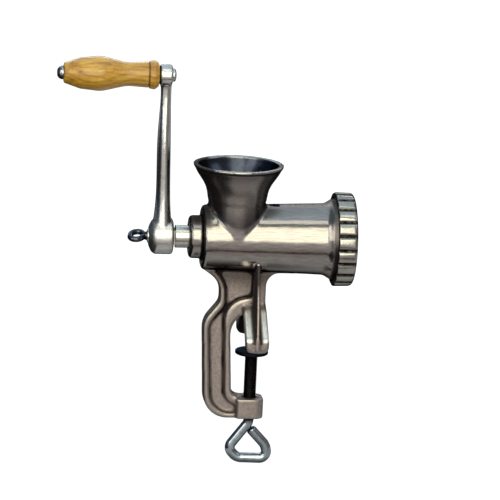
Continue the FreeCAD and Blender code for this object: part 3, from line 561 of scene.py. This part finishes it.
class GrinderColours(bpy.types.PropertyGroup):
    skin: colour_property(
        name="Cast skin", description="The frame's rough skin, in its middle tone", default=linear("#908582"))
    tin: colour_property(
        name="Tin", description="The polished barrel, in its light tone", default=linear("#9a9592"))
    # Colours the soiling in the casting's hollows and the painted shade of its corners and undersides
    grime_and_shade: colour_property(
        name="Grime", description="Old grease in the casting's corners", default=linear("#1a1315"))
    ring: colour_property(
        name="Ring nut", description="The ring nut, in its light tone", default=linear("#a09d97"))
    crank: colour_property(
        name="Crank", description="The crank, in its light tone", default=linear("#c6c5c2"))
    thumb_screw: colour_property(
        name="Thumb screw", description="The thumb screw's oxide skin", default=linear("#4a4d53"))
    beech_dark: colour_property(
        name="Beech, dark", description="The darkest tone of the grip's figure", default=linear("#86550f"))
    beech_light: colour_property(
        name="Beech, light", description="The lightest tone of the grip's figure", default=linear("#d3ae4a"))
    handle: colour_property(
        name="Clamp handle", description="The clamp's bent handle, light tone", default=linear("#a6aeb3"))
    pad: colour_property(
        name="Clamp pad", description="The clamp pad's oxide skin", default=linear("#191a22"))


# Pieces


def place_piece(mesh, material, body, node):
    """Puts a finished mesh into the scene: it stands for a CAD node, which it hides, and rides on its body.
    """
    mesh.materials.append(material)
    piece = bpy.data.objects.new(mesh.name, mesh)
    bpy.context.scene.collection.objects.link(piece)
    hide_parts(node)
    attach(piece, body)


def dress(node, material):
    """Gives a CAD node its material in every slot."""
    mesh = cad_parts[node].data
    if not mesh.materials:
        mesh.materials.append(material)
    for index in range(len(mesh.materials)):
        mesh.materials[index] = material


class GrinderCastings(bpy.types.PropertyGroup):
    grain: length_property(
        name="Casting grain", description="Size of the remesh cubes on the body, which rounds its edges",
        default=1.25 * MM)
    passes: bpy.props.IntProperty(
        name="Casting passes", description="How often the body's points are relaxed", default=5)
    crank_grain: length_property(
        name="Crank grain", description="Size of the remesh cubes on the crank", default=0.8 * MM)
    crank_passes: bpy.props.IntProperty(
        name="Crank passes", description="How often the crank's points are relaxed", default=6)


def store_zones(mesh):
    """Keeps the numbers that the casting's material reads, products of soft steps of a point's measures.

    The measures are how far a point is along the barrel, across it, over the table, off the barrel's axis and
    off the hopper's, and which way it faces.
    """
    points, normals = points_of(mesh)
    along, across, height = points.T
    from_middle, aside = np.abs(along), np.abs(across)
    off_axis = np.hypot(across, height - AXIS_Z)
    off_hopper = np.hypot(along - HOPPER_X, across)
    inwards = normals[:, 0] * (along - HOPPER_X) + normals[:, 1] * across < 0
    to_middle = -normals[:, 1] * np.sign(across)
    to_crank = -normals[:, 0]

    # The upper edge of the legs' web, which stands proud of the barrel, the fettled barrel and what is over
    # it, the two legs, the web between them, the lower arm, and the bead on the side of the crank
    web_edge = smooth_step(off_axis, BARREL_RADIUS + 0.3, BARREL_RADIUS + 1.3)
    web_edge = web_edge * (from_middle < 3) * (height < 80)
    barrel_foot = AXIS_Z - BARREL_RADIUS
    barrel = smooth_step(height, barrel_foot - 2, barrel_foot + 3) * (1 - web_edge)
    legs = smooth_step(aside, 12, 17) * smooth_step(height, TOE_TOP - 3, TOE_TOP + 2)
    legs = legs * (1 - smooth_step(height, 40, 55))
    web = smooth_step(aside, 7, 12) * (from_middle < 6) * (1 - barrel) * (height > TOE_TOP - 3)
    low_arm = (1 - smooth_step(height, FRAME_FOOT + 12, FRAME_FOOT + 24)) * (along < -12)
    outer_bead = smooth_step(-along, 34, 37) * (height < 24) * (1 - barrel)
    off_web = smooth_step(from_middle, 3.8, 5.2)
    # Painted shade on the legs' inner faces, which face the middle
    leg_inside = smooth_step(to_middle, 0.2, 0.6) * (aside > 12) * (height < 40)

    # The hopper's bore and the chamber, and the hopper's outside
    hopper_bore = (off_hopper < 38.5) * inwards * (height > AXIS_Z + 24)
    chamber = (off_axis < 28) * (along > CHAMBER_BACK - 1)
    bore = np.clip(hopper_bore + chamber, 0, 1)
    hopper = smooth_step(off_axis, BARREL_RADIUS + 0.2, BARREL_RADIUS + 2)
    brushed = hopper * (height > AXIS_Z) * (off_hopper < 46) * (1 - bore)

    # Painted shade: beside the web and on its upper edge, under the barrel, on the barrel's back shoulder,
    # behind the ring nut and more so below its axis, on the hopper's side that faces the crank, and on the
    # legs' inner faces
    beside_web = np.maximum(smooth_step(from_middle, WEB_HALF - 0.2, WEB_HALF + 0.4),
                            smooth_step(np.abs(normals[:, 0]), 0.5, 0.8))
    beside_web = 0.85 * beside_web * web * (1 - off_web)
    web_top = 0.8 * smooth_step(height, 54, 62) * web_edge
    under_barrel = 0.55 * smooth_step(height, 46, 63) * (1 - barrel) * (1 - legs)
    shoulder = smooth_step(-along, 41, 46) * smooth_step(height, AXIS_Z + 10, AXIS_Z + 17)
    shoulder = 0.8 * shoulder * barrel
    behind_ring = smooth_step(along, RING_LOW[0] - 4.5, RING_LOW[0] - 2) * (off_axis > 32)
    behind_ring = behind_ring * (0.72 + 0.28 * smooth_step(AXIS_Z - height, -8, 4))
    crank_side_shade = 0.93 * smooth_step(to_crank, 0.5, 0.72) * (1 - smooth_step(to_crank, 0.88, 0.97))
    crank_side_shade = crank_side_shade * brushed * (height < HOPPER_RIM - 6)

    # Legs, web, lower arm and bead get less soiling, painted shade and wear than their hollows would give.
    calm = (1 - 0.85 * np.maximum(legs, web)) * (1 - 0.55 * low_arm) * (1 - 0.35 * outer_bead)
    # A painted highlight on the legs' outer faces, off the web, and a fainter painted highlight along the
    # hopper's rim
    leg_highlight = legs * off_web * (1 - leg_inside)
    rim = 0.35 * smooth_step(height, HOPPER_RIM - 1.6, HOPPER_RIM - 0.9)
    # Each of these is painted shade
    painted_shade_zones = [beside_web, web_top, under_barrel, shoulder, behind_ring, crank_side_shade, leg_inside]
    store(mesh, "polish", barrel)
    store(mesh, "satin", smooth_step(normals[:, 2], 0.7, 0.82))
    store(mesh, "hollow", hollows(mesh, 6) * calm)
    store(mesh, "bright", np.maximum(leg_highlight, rim))
    store(mesh, "bore", bore)
    store(mesh, "brushed", brushed)
    store(mesh, "grime_and_shade", np.max(painted_shade_zones, axis=0))


class GRINDER_OT_casting(bpy.types.Operator):
    """Makes the body's cast skin, fettled smooth on barrel and hopper and rough on the clamp frame"""
    bl_idname = "grinder.casting"
    bl_label = "Body casting"

    def execute(self, context):
        castings = context.scene.grinder_castings
        mesh = softened("body_casting", "cast_body", castings.grain, castings.passes)
        store_zones(mesh)
        material = hot_tinned_iron(context.scene.grinder_colours)
        place_piece(mesh, material, "casting", "body_casting")
        return {"FINISHED"}


class GrinderRing(bpy.types.PropertyGroup):
    lobes: bpy.props.IntProperty(name="Lobes", description="Lobes round the ring nut", default=20)
    first_valley: bpy.props.FloatProperty(
        name="First valley", description="Turn of the first valley from +Y", default=math.radians(2),
        subtype="ANGLE")
    valley: length_property(
        name="Valley", description="Depth of the valleys between the lobes", default=2.3 * MM)
    mouth: length_property(
        name="Mouth", description="Radius of the outlet", default=27.5 * MM)
    bore: length_property(
        name="Bore", description="Radius inside, over the barrel's thread", default=37.6 * MM)
    lip: length_property(
        name="Lip", description="Thickness of the lip that holds the plate", default=3.8 * MM)


class GRINDER_OT_ring(bpy.types.Operator):
    """Makes the ring nut: a turned cap whose outside swells into round lobes"""
    bl_idname = "grinder.ring"
    bl_label = "Ring nut"

    def execute(self, context):
        ring = context.scene.grinder_ring
        outer = (RING_HIGH[2] - RING_LOW[2]) / 2
        back, front = RING_LOW[0], RING_HIGH[0]
        mouth, bore, lip = ring.mouth / MM, ring.bore / MM, front - ring.lip / MM
        profile = evenly(bent([
            (lip, bore), (back, bore, 0.6), (back, outer, 1.8), (front, outer - 0.6, 3.6),
            (front, mouth, 1.6), (lip, mouth, 0.5), (lip, bore),
        ]), 0.62)
        half = math.pi / ring.lobes
        swell = ((outer * half) ** 2 + (ring.valley / MM) ** 2) / (2 * ring.valley / MM)

        def lobe_at(angles):
            """Radius of the lobes at the given angles: arcs of circles between the valleys."""
            off = (angles - ring.first_valley - half) / (2 * half)
            off = (off - np.round(off)) * 2 * half * outer
            return outer - swell + np.sqrt(swell ** 2 - off ** 2)

        def lobed(radius, angles):
            """The lobes, but where the profile is lower it wins, with a soft change between the two."""
            lobe, soft = lobe_at(angles), 0.25
            return lobe - soft * np.log1p(np.exp((lobe - radius) / soft))

        grid = turned(profile, ring.lobes * 24, AXIS_Z, radius_at=lobed)
        mesh = join_grids("lobed_ring", [grid])
        points, _ = points_of(mesh)
        angles = np.arctan2(points[:, 2] - AXIS_Z, points[:, 1])
        low = outer - lobe_at(angles)
        side = smooth_step(np.hypot(points[:, 1], points[:, 2] - AXIS_Z), outer - 4.5, outer - 3.5)
        # Painted shade on the ring's back face
        rear = smooth_step(points[:, 0], back + 1.2, back + 0.3) * 0.9
        store(mesh, "valley", np.maximum(smooth_step(low, 0.7, 1.5) * side, rear))
        place_piece(mesh, tinned_ring(context.scene.grinder_colours), "ring_nut", "ring_nut")
        return {"FINISHED"}


class GRINDER_OT_crank(bpy.types.Operator):
    """Makes the crank's polished skin"""
    bl_idname = "grinder.crank"
    bl_label = "Crank"

    def execute(self, context):
        castings = context.scene.grinder_castings
        mesh = softened("crank_arm", "crank_skin", castings.crank_grain, castings.crank_passes)
        place_piece(mesh, polished_tin(context.scene.grinder_colours), "crank_drive", "crank_arm")
        return {"FINISHED"}


class GrinderThumbScrew(bpy.types.PropertyGroup):
    rod: length_property(
        name="Eye rod", description="Radius of the rod that the eye is bent from", default=2.6 * MM)
    shank: length_property(
        name="Shank", description="Radius of the threaded shank", default=3.0 * MM)
    turn: bpy.props.FloatProperty(
        name="Turn", description="How far the eye is turned about the barrel's axis",
        default=math.radians(17), subtype="ANGLE")
    skew: bpy.props.FloatProperty(
        name="Skew", description="How far the eye leans along the screw for each unit across it", default=0.2)


class GRINDER_OT_thumb_screw(bpy.types.Operator):
    """Makes the thumb screw: a collar and shank, and an eye bent from rod"""
    bl_idname = "grinder.thumb_screw"
    bl_label = "Thumb screw"

    def execute(self, context):
        screw = context.scene.grinder_thumb_screw
        rod, shank = screw.rod / MM, screw.shank / MM
        neck = CRANK_WASHER_X - 0.1
        eye = evenly(bent([
            (neck - 1.6, 0), (neck - 6.6, 7.2, 5), (neck - 14.8, 6.2, 5.4), (neck - 14.8, -6.2, 5.4),
            (neck - 6.6, -7.2, 5), (neck - 1.6, 0),
        ]), 0.5)
        eye[:, 0] += screw.skew * eye[:, 1]
        radius = np.full((len(eye), 24), rod)
        radius[0], radius[-1] = 0, 0
        ring = carried(eye, radius)
        collar = evenly(bent([
            (neck - 3.0, 0), (neck - 3.0, 2.9, 1.2), (neck, 4.4, 0.6), (neck, shank), (neck + 14, shank, 0.5),
            (neck + 14, 0),
        ]), 0.3)
        stem = turned(collar, 40)
        # The eye is bent in the XZ plane, laid in the XY plane, and turned about the barrel's axis.
        ring[..., 1], ring[..., 2] = ring[..., 2].copy(), ring[..., 1].copy()
        cos, sin = math.cos(screw.turn), math.sin(screw.turn)
        flat = ring.copy()
        ring[..., 1] = flat[..., 1] * cos - flat[..., 2] * sin
        ring[..., 2] = flat[..., 1] * sin + flat[..., 2] * cos + AXIS_Z
        stem[..., 2] += AXIS_Z
        mesh = join_grids("eye_screw", [ring, stem])
        material = blackened_steel("blackened screw steel", context.scene.grinder_colours.thumb_screw, 0.14)
        place_piece(mesh, material, "thumb_screw", "crank_screw")
        return {"FINISHED"}


class GRINDER_OT_grip(bpy.types.Operator):
    """Makes the turned wooden grip, with the groove near its collar and a soft arris at each end"""
    bl_idname = "grinder.grip"
    bl_label = "Wooden grip"

    def execute(self, context):
        near, far = GRIP_LOW[0], GRIP_HIGH[0]
        bore = 4.08
        profile = evenly(bent([
            (near + 1, bore), (near, bore, 0.3), (near, 8.9, 1.8), (near + 15, 14, 18), (near + 33, 15.8, 24),
            (near + 56, 10.4, 30), (GRIP_GROOVE - 0.5, 11.6, 0.6), (GRIP_GROOVE, 10.5, 0.3),
            (GRIP_GROOVE + 0.6, 12.2, 0.8), (far - 3.6, 13.3, 3), (far, 10.4, 1.5), (far, bore, 0.3),
            (near + 1, bore),
        ]), 0.45)
        mesh = join_grids("beech_grip", [turned(profile, 96, GRIP_Z)])
        material = varnished_beech(context.scene.grinder_colours)
        place_piece(mesh, material, "grip", "wooden_grip")
        return {"FINISHED"}


class GrinderClamp(bpy.types.PropertyGroup):
    screw: length_property(
        name="Screw", description="Radius over the clamp screw's thread", default=5.8 * MM)
    pitch: length_property(
        name="Pitch", description="Pitch of the clamp screw", default=1.5 * MM)
    thread: length_property(
        name="Thread", description="Depth of the clamp screw's thread", default=0.9 * MM)
    rod: length_property(
        name="Rod", description="Radius of the bent handle", default=4.57 * MM)


class GRINDER_OT_clamp(bpy.types.Operator):
    """Makes the clamp screw with its thread and bent handle, and the disc on its top end"""
    bl_idname = "grinder.clamp"
    bl_label = "Clamp screw and pad"

    def execute(self, context):
        clamp, colours = context.scene.grinder_clamp, context.scene.grinder_colours
        screw, rod, pitch, thread = (
            size / MM for size in (clamp.screw, clamp.rod, clamp.pitch, clamp.thread))
        top, under_pad = PAD_HIGH[2] - 0.2, PAD_LOW[2]
        foot = FRAME_FOOT
        path = bent([
            (0, top), (0, foot - 5.8, 8), (-18, foot - 29.8, 7), (-9.5, foot - 38.8, 10),
            (18.8, foot - 39.5, 6.2), (16.2, foot - 26.8, 12), (2, foot - 11.6),
        ])
        total = stations(path)[-1]
        shank = top - (foot - 2)
        lengths = np.concatenate([np.arange(0, shank, pitch / 8), np.arange(shank, total, 0.55), [total]])
        line = at_lengths(path, lengths)
        outline = np.array([
            (0, 0), (0.05, 4.6), (0.6, 5.2), (1.4, 5.2), (1.6, 3.4), (top - under_pad, 3.4),
            (top - under_pad + 0.2, 4.9), (top - under_pad + 1.1, screw), (top - foot + 0.6, screw),
            (top - foot + 3.4, rod), (total - 1.4, rod), (total - 0.4, rod - 0.7), (total - 0.01, rod - 1.8),
            (total, 0),
        ])
        radius = np.interp(lengths, outline[:, 0], outline[:, 1])
        angles = around(32)[None, :]
        phase = (lengths[:, None] / pitch + angles / (2 * math.pi)) % 1
        tooth = np.clip(np.abs(phase * 2 - 1) * 1.3 - 0.15, 0, 1)
        run = smooth_step(lengths, top - under_pad + 0.8, top - under_pad + 1.8)
        run = run * (1 - smooth_step(lengths, top - foot - 1.5, top - foot + 1.0))
        mesh = join_grids("clamp_rod", [carried(line, radius[:, None] - thread * run[:, None] * tooth)])
        place_piece(mesh, clamp_rod(colours), "clamp_screw", "clamp_screw")

        edge = (PAD_HIGH[0] - PAD_LOW[0]) / 2
        profile = evenly(bent([
            (under_pad, 3.46), (under_pad, edge, 1.1), (PAD_HIGH[2], edge, 1.1), (PAD_HIGH[2], 6.2, 0.3),
            (PAD_HIGH[2] - 1.8, 6.2), (PAD_HIGH[2] - 1.8, 3.46), (under_pad, 3.46),
        ]), 0.3)
        disc = join_grids("clamp_disc", [turned(profile, 96, upright=True)])
        material = blackened_steel("blackened pad steel", colours.pad, 0.35)
        place_piece(disc, material, "clamp_pad", "clamp_pad")
        return {"FINISHED"}


class GRINDER_OT_small_parts(bpy.types.Operator):
    """Gives the turned, ground and fibre parts their materials"""
    bl_idname = "grinder.small_parts"
    bl_label = "Small parts"

    def execute(self, context):
        for material, nodes in (
            (turned_steel("turned steel", "#8d9093", 0.22),
             ("plate_key_pin", "knife_stud", "handle_nut", "crank_screw_washer")),
            (turned_steel("blued spindle steel", "#40454f", 0.18), ("handle_screw",)),
            (turned_steel("ground blade steel", "#a5a8ab", 0.28), ("knife", "grinding_plate")),
            (turned_steel("tinned auger iron", "#9a948b", 0.2), ("auger",)),
            (blackened_steel("oiled washer steel", "#17181c", 0.4), ("grip_washer",)),
            (red_fibre(), ("thrust_washer",)),
        ):
            for node in nodes:
                dress(node, material)
        return {"FINISHED"}


# Stage


class GrinderStage(bpy.types.PropertyGroup):
    azimuth: bpy.props.FloatProperty(
        name="Azimuth", description="The camera's turn about the vertical; 0 looks along +Y",
        default=math.radians(-7.3), subtype="ANGLE")
    elevation: bpy.props.FloatProperty(
        name="Elevation", description="The camera's height over the horizon",
        default=math.radians(14.3), subtype="ANGLE")
    roll: bpy.props.FloatProperty(
        name="Roll", description="How far the picture leans clockwise", default=math.radians(2.65),
        subtype="ANGLE")
    distance: length_property(
        name="Distance", description="From the table clamp to the camera", default=3.2)
    aim: bpy.props.FloatVectorProperty(
        name="Aim", description="The point in the middle of the picture", default=(-0.0030, 0.0211, 0.0808),
        subtype="XYZ", unit="LENGTH")
    picture_width: length_property(
        name="Picture width", description="What the picture spans at the aim", default=0.45)
    floor_drop: length_property(
        name="Floor drop", description="The floor under the lowest point, clear of the lowered clamp screw",
        default=0.038)


def way_to(azimuth, elevation):
    """The unit way from the object to a place at an azimuth, turned from -Y, and an elevation."""
    flat = math.cos(elevation)
    return Vector((math.sin(azimuth) * flat, -math.cos(azimuth) * flat, math.sin(elevation)))


def make_camera(stage):
    """The photograph's view: a long lens, turned, raised and rolled as there."""
    eye = way_to(stage.azimuth, stage.elevation) * stage.distance
    aim = Vector(stage.aim)
    away = eye - aim
    data = bpy.data.cameras.new("camera")
    data.sensor_width = 36
    data.lens = data.sensor_width * away.length / stage.picture_width
    data.clip_start = 0.1
    data.clip_end = 50
    camera = bpy.data.objects.new("camera", data)
    turned_to = (-away).to_track_quat("-Z", "Y").to_matrix() @ Matrix.Rotation(stage.roll, 3, "Z")
    camera.matrix_world = Matrix.Translation(eye) @ turned_to.to_4x4()
    bpy.context.scene.collection.objects.link(camera)
    bpy.context.scene.camera = camera


def soft_box(name, elevation, azimuth, distance, size, radiance, code):
    """A rectangular lamp that faces the object from the given direction, as bright as the radiance says.

    Its power is the radiance times its area times pi.
    """
    middle = Vector((0, 0, 0.08))
    way = way_to(math.radians(azimuth), math.radians(elevation))
    data = bpy.data.lights.new(name, "AREA")
    data.shape = "RECTANGLE"
    data.size, data.size_y = size
    data.energy = radiance * size[0] * size[1] * math.pi
    data.color = linear(code)[:3]
    lamp = bpy.data.objects.new(name, data)
    lamp.matrix_world = (Matrix.Translation(middle + way * distance)
                         @ (-way).to_track_quat("-Z", "Y").to_matrix().to_4x4())
    lamp.visible_camera = False
    bpy.context.scene.collection.objects.link(lamp)


def make_world():
    """The studio: a white backdrop behind, and in front a pale table top with a dark band near its edge.

    Over the table top it is white too, and the ceiling is bluish grey. The sides go from dark blue on the
    left to warm grey on the right. The camera sees white all round. Reflections see everything in full, and
    what is lit gets 0.15 of the front and 0.8 of the backdrop.
    """
    world = bpy.data.worlds.new("studio")
    bpy.context.scene.world = world
    world.use_nodes = True
    world.node_tree.nodes.clear()
    add = partial(add_node, world.node_tree)
    path = add("LightPath", out=None)
    x, y, z = add("SeparateXYZ", {0: add("TexCoord", out="Generated")}, out=None)
    mirrored = add("Math", {0: path["Is Glossy Ray"], 1: path["Is Transmission Ray"]}, operation="MAXIMUM")

    front = add("ValToRGB", {0: add("MapRange", {0: z, 1: -1})}, stops=[
        (0.17, "#cdc3c0"), (0.185, "#2c2826"), (0.215, "#2c2826"), (0.24, "#c0b6b0"), (0.4, "#ece6e0"),
        (0.5, "#ffffff")])
    sides = add("ValToRGB", {0: add("MapRange", {0: x, 1: -1})}, stops=[
        (0.0, "#55667a"), (0.3, "#2c3440"), (0.5, "#6a6662"), (0.75, "#a8a4a0"), (1.0, "#8a8785")])
    in_front = add("MapRange", {0: mirrored, 3: 0.15, 4: 1.0})
    for axis, none, full in ((x, -0.88, -0.74), (x, 0.5, 0.35), (y, -0.1, -0.35)):
        edge = add("MapRange", {0: axis, 1: none, 2: full})
        in_front = add("Math", {0: in_front, 1: edge}, operation="MULTIPLY")
    behind = add("MapRange", {0: mirrored, 3: 0.8, 4: 1.0})
    from_middle = add("Math", {0: x}, operation="ABSOLUTE")
    for axis, none, full in ((y, 0.25, 0.45), (z, 0.62, 0.5), (from_middle, 0.55, 0.2)):
        edge = add("MapRange", {0: axis, 1: none, 2: full})
        behind = add("Math", {0: behind, 1: edge}, operation="MULTIPLY")
    ceiling = add("MapRange", {0: z, 1: 0.6, 2: 0.75})

    glow = sides
    for share, light in ((in_front, front), (ceiling, "#7f8c96"), (behind, "#ffffff"),
                         (path["Is Camera Ray"], "#ffffff")):
        glow = add("Mix", {0: share, 6: glow, 7: light}, out=2, data_type="RGBA")
    add("OutputWorld", {"Surface": add("Background", {"Color": glow, "Strength": 1.0})}, out=None)


def level_sheet(name, left, right, front, back, level):
    """A level rectangle of the stage between four edges, in metres."""
    mesh = bpy.data.meshes.new(name)
    mesh.from_pydata([(left, front, level), (right, front, level), (right, back, level), (left, back, level)],
                     [], [(0, 1, 2, 3)])
    sheet = bpy.data.objects.new(name, mesh)
    bpy.context.scene.collection.objects.link(sheet)
    return sheet


def make_floor(stage):
    """A plain pale floor under the lowest point, which reaches to just in front of the object.

    It glows white for the camera, a little less close to the object, and more softly in reflections, where a
    painted shadow darkens it close to the object. It doesn't glow for what is lit, so that the object's
    shadow shows.
    """
    level = CAD_BOX[0].z - stage.floor_drop
    floor = level_sheet("floor", left=-4.0, right=4.0, front=-0.2, back=6.0, level=level)
    material, add, place = new_material("matt white paper")
    path = add("LightPath", out=None)
    away = add("VectorMath", {0: place}, out="Value", operation="LENGTH")
    mirrored = add("Math", {0: path["Is Glossy Ray"], 1: path["Is Transmission Ray"]}, operation="MAXIMUM")
    # A painted shadow in reflections close to the object
    outside_painted_shadow = add("MapRange", {0: away, 1: 0.152, 2: 0.172, 3: 0.05, 4: 0.52})
    mirrored = add("Math", {0: mirrored, 1: outside_painted_shadow}, operation="MULTIPLY")
    seen = add("Math", {0: path["Is Camera Ray"], 1: mirrored}, operation="MAXIMUM")
    glow = add("MapRange", {0: away, 1: 0.15, 2: 0.9, 3: 0.88, 4: 1.0})
    glow = add("Math", {0: seen, 1: glow}, operation="MULTIPLY")
    shader = add("BsdfPrincipled", {
        "Base Color": "#6c6c6a", "Roughness": 0.9, "Emission Color": "#ffffff", "Emission Strength": glow})
    add("OutputMaterial", {"Surface": shader}, out=None)
    floor.data.materials.append(material)


def make_card(stage):
    """A black card that lies 0.3 mm over the floor at the object's left, seen in reflections alone."""
    level = CAD_BOX[0].z - stage.floor_drop + 0.3 * MM
    card = level_sheet("black_card", left=-4.0, right=-0.15, front=-0.35, back=1.2, level=level)
    card.visible_camera = card.visible_diffuse = card.visible_shadow = False
    material, add, _ = new_material("black card")
    shader = add("BsdfPrincipled", {"Base Color": "#101014", "Roughness": 0.9})
    add("OutputMaterial", {"Surface": shader}, out=None)
    card.data.materials.append(material)


class GRINDER_OT_stage(bpy.types.Operator):
    """Sets up the camera, the floor, the studio and its lamps"""
    bl_idname = "grinder.stage"
    bl_label = "Stage"

    def execute(self, context):
        stage = context.scene.grinder_stage
        make_camera(stage)
        make_world()
        make_floor(stage)
        make_card(stage)
        # Elevation and azimuth in degrees, distance and size in metres, radiance and colour
        soft_box("front_box", 25, -4, 1.5, (1.0, 1.4), 3.3, "#fffbdc")
        soft_box("left_box", 25, -48, 1.5, (0.66, 1.1), 2.3, "#fffbe6")
        soft_box("right_box", 38, 78, 1.6, (0.8, 0.8), 1.3, "#e6f0ff")
        soft_box("high_strip", 67, 2, 1.5, (1.2, 0.32), 2.3, "#fffdf0")
        soft_box("top_panel", 106, 0, 1.6, (1.6, 2.0), 0.95, "#cfe6f4")
        soft_box("rim_strip", 35, 180, 2.2, (2.6, 0.22), 8.0, "#f4f8ff")
        context.scene.view_settings.view_transform = "Standard"
        return {"FINISHED"}


OPERATORS = (
    GRINDER_OT_casting, GRINDER_OT_ring, GRINDER_OT_crank, GRINDER_OT_thumb_screw, GRINDER_OT_grip,
    GRINDER_OT_clamp, GRINDER_OT_small_parts, GRINDER_OT_stage,
)
SETTINGS = {
    "grinder_colours": GrinderColours,
    "grinder_castings": GrinderCastings,
    "grinder_ring": GrinderRing,
    "grinder_thumb_screw": GrinderThumbScrew,
    "grinder_clamp": GrinderClamp,
    "grinder_stage": GrinderStage,
}


class GRINDER_PT_panel(bpy.types.Panel):
    bl_label = "Meat grinder"
    bl_space_type = "VIEW_3D"
    bl_region_type = "UI"
    bl_category = "Grinder"

    def draw(self, context):
        for name, group in SETTINGS.items():
            box = self.layout.box()
            for setting in group.__annotations__:
                box.prop(getattr(context.scene, name), setting)
        for operator in OPERATORS:
            self.layout.operator(operator.bl_idname)


CLASSES = (*SETTINGS.values(), *OPERATORS, GRINDER_PT_panel)


def register():
    for each in CLASSES:
        bpy.utils.register_class(each)
    for name, group in SETTINGS.items():
        setattr(bpy.types.Scene, name, bpy.props.PointerProperty(type=group))


def unregister():
    for name in SETTINGS:
        delattr(bpy.types.Scene, name)
    for each in reversed(CLASSES):
        bpy.utils.unregister_class(each)


def main():
    register()
    bpy.ops.grinder.casting()
    bpy.ops.grinder.ring()
    bpy.ops.grinder.crank()
    bpy.ops.grinder.thumb_screw()
    bpy.ops.grinder.grip()
    bpy.ops.grinder.clamp()
    bpy.ops.grinder.small_parts()
    bpy.ops.grinder.stage()


if __name__ == "__main__":
    main()
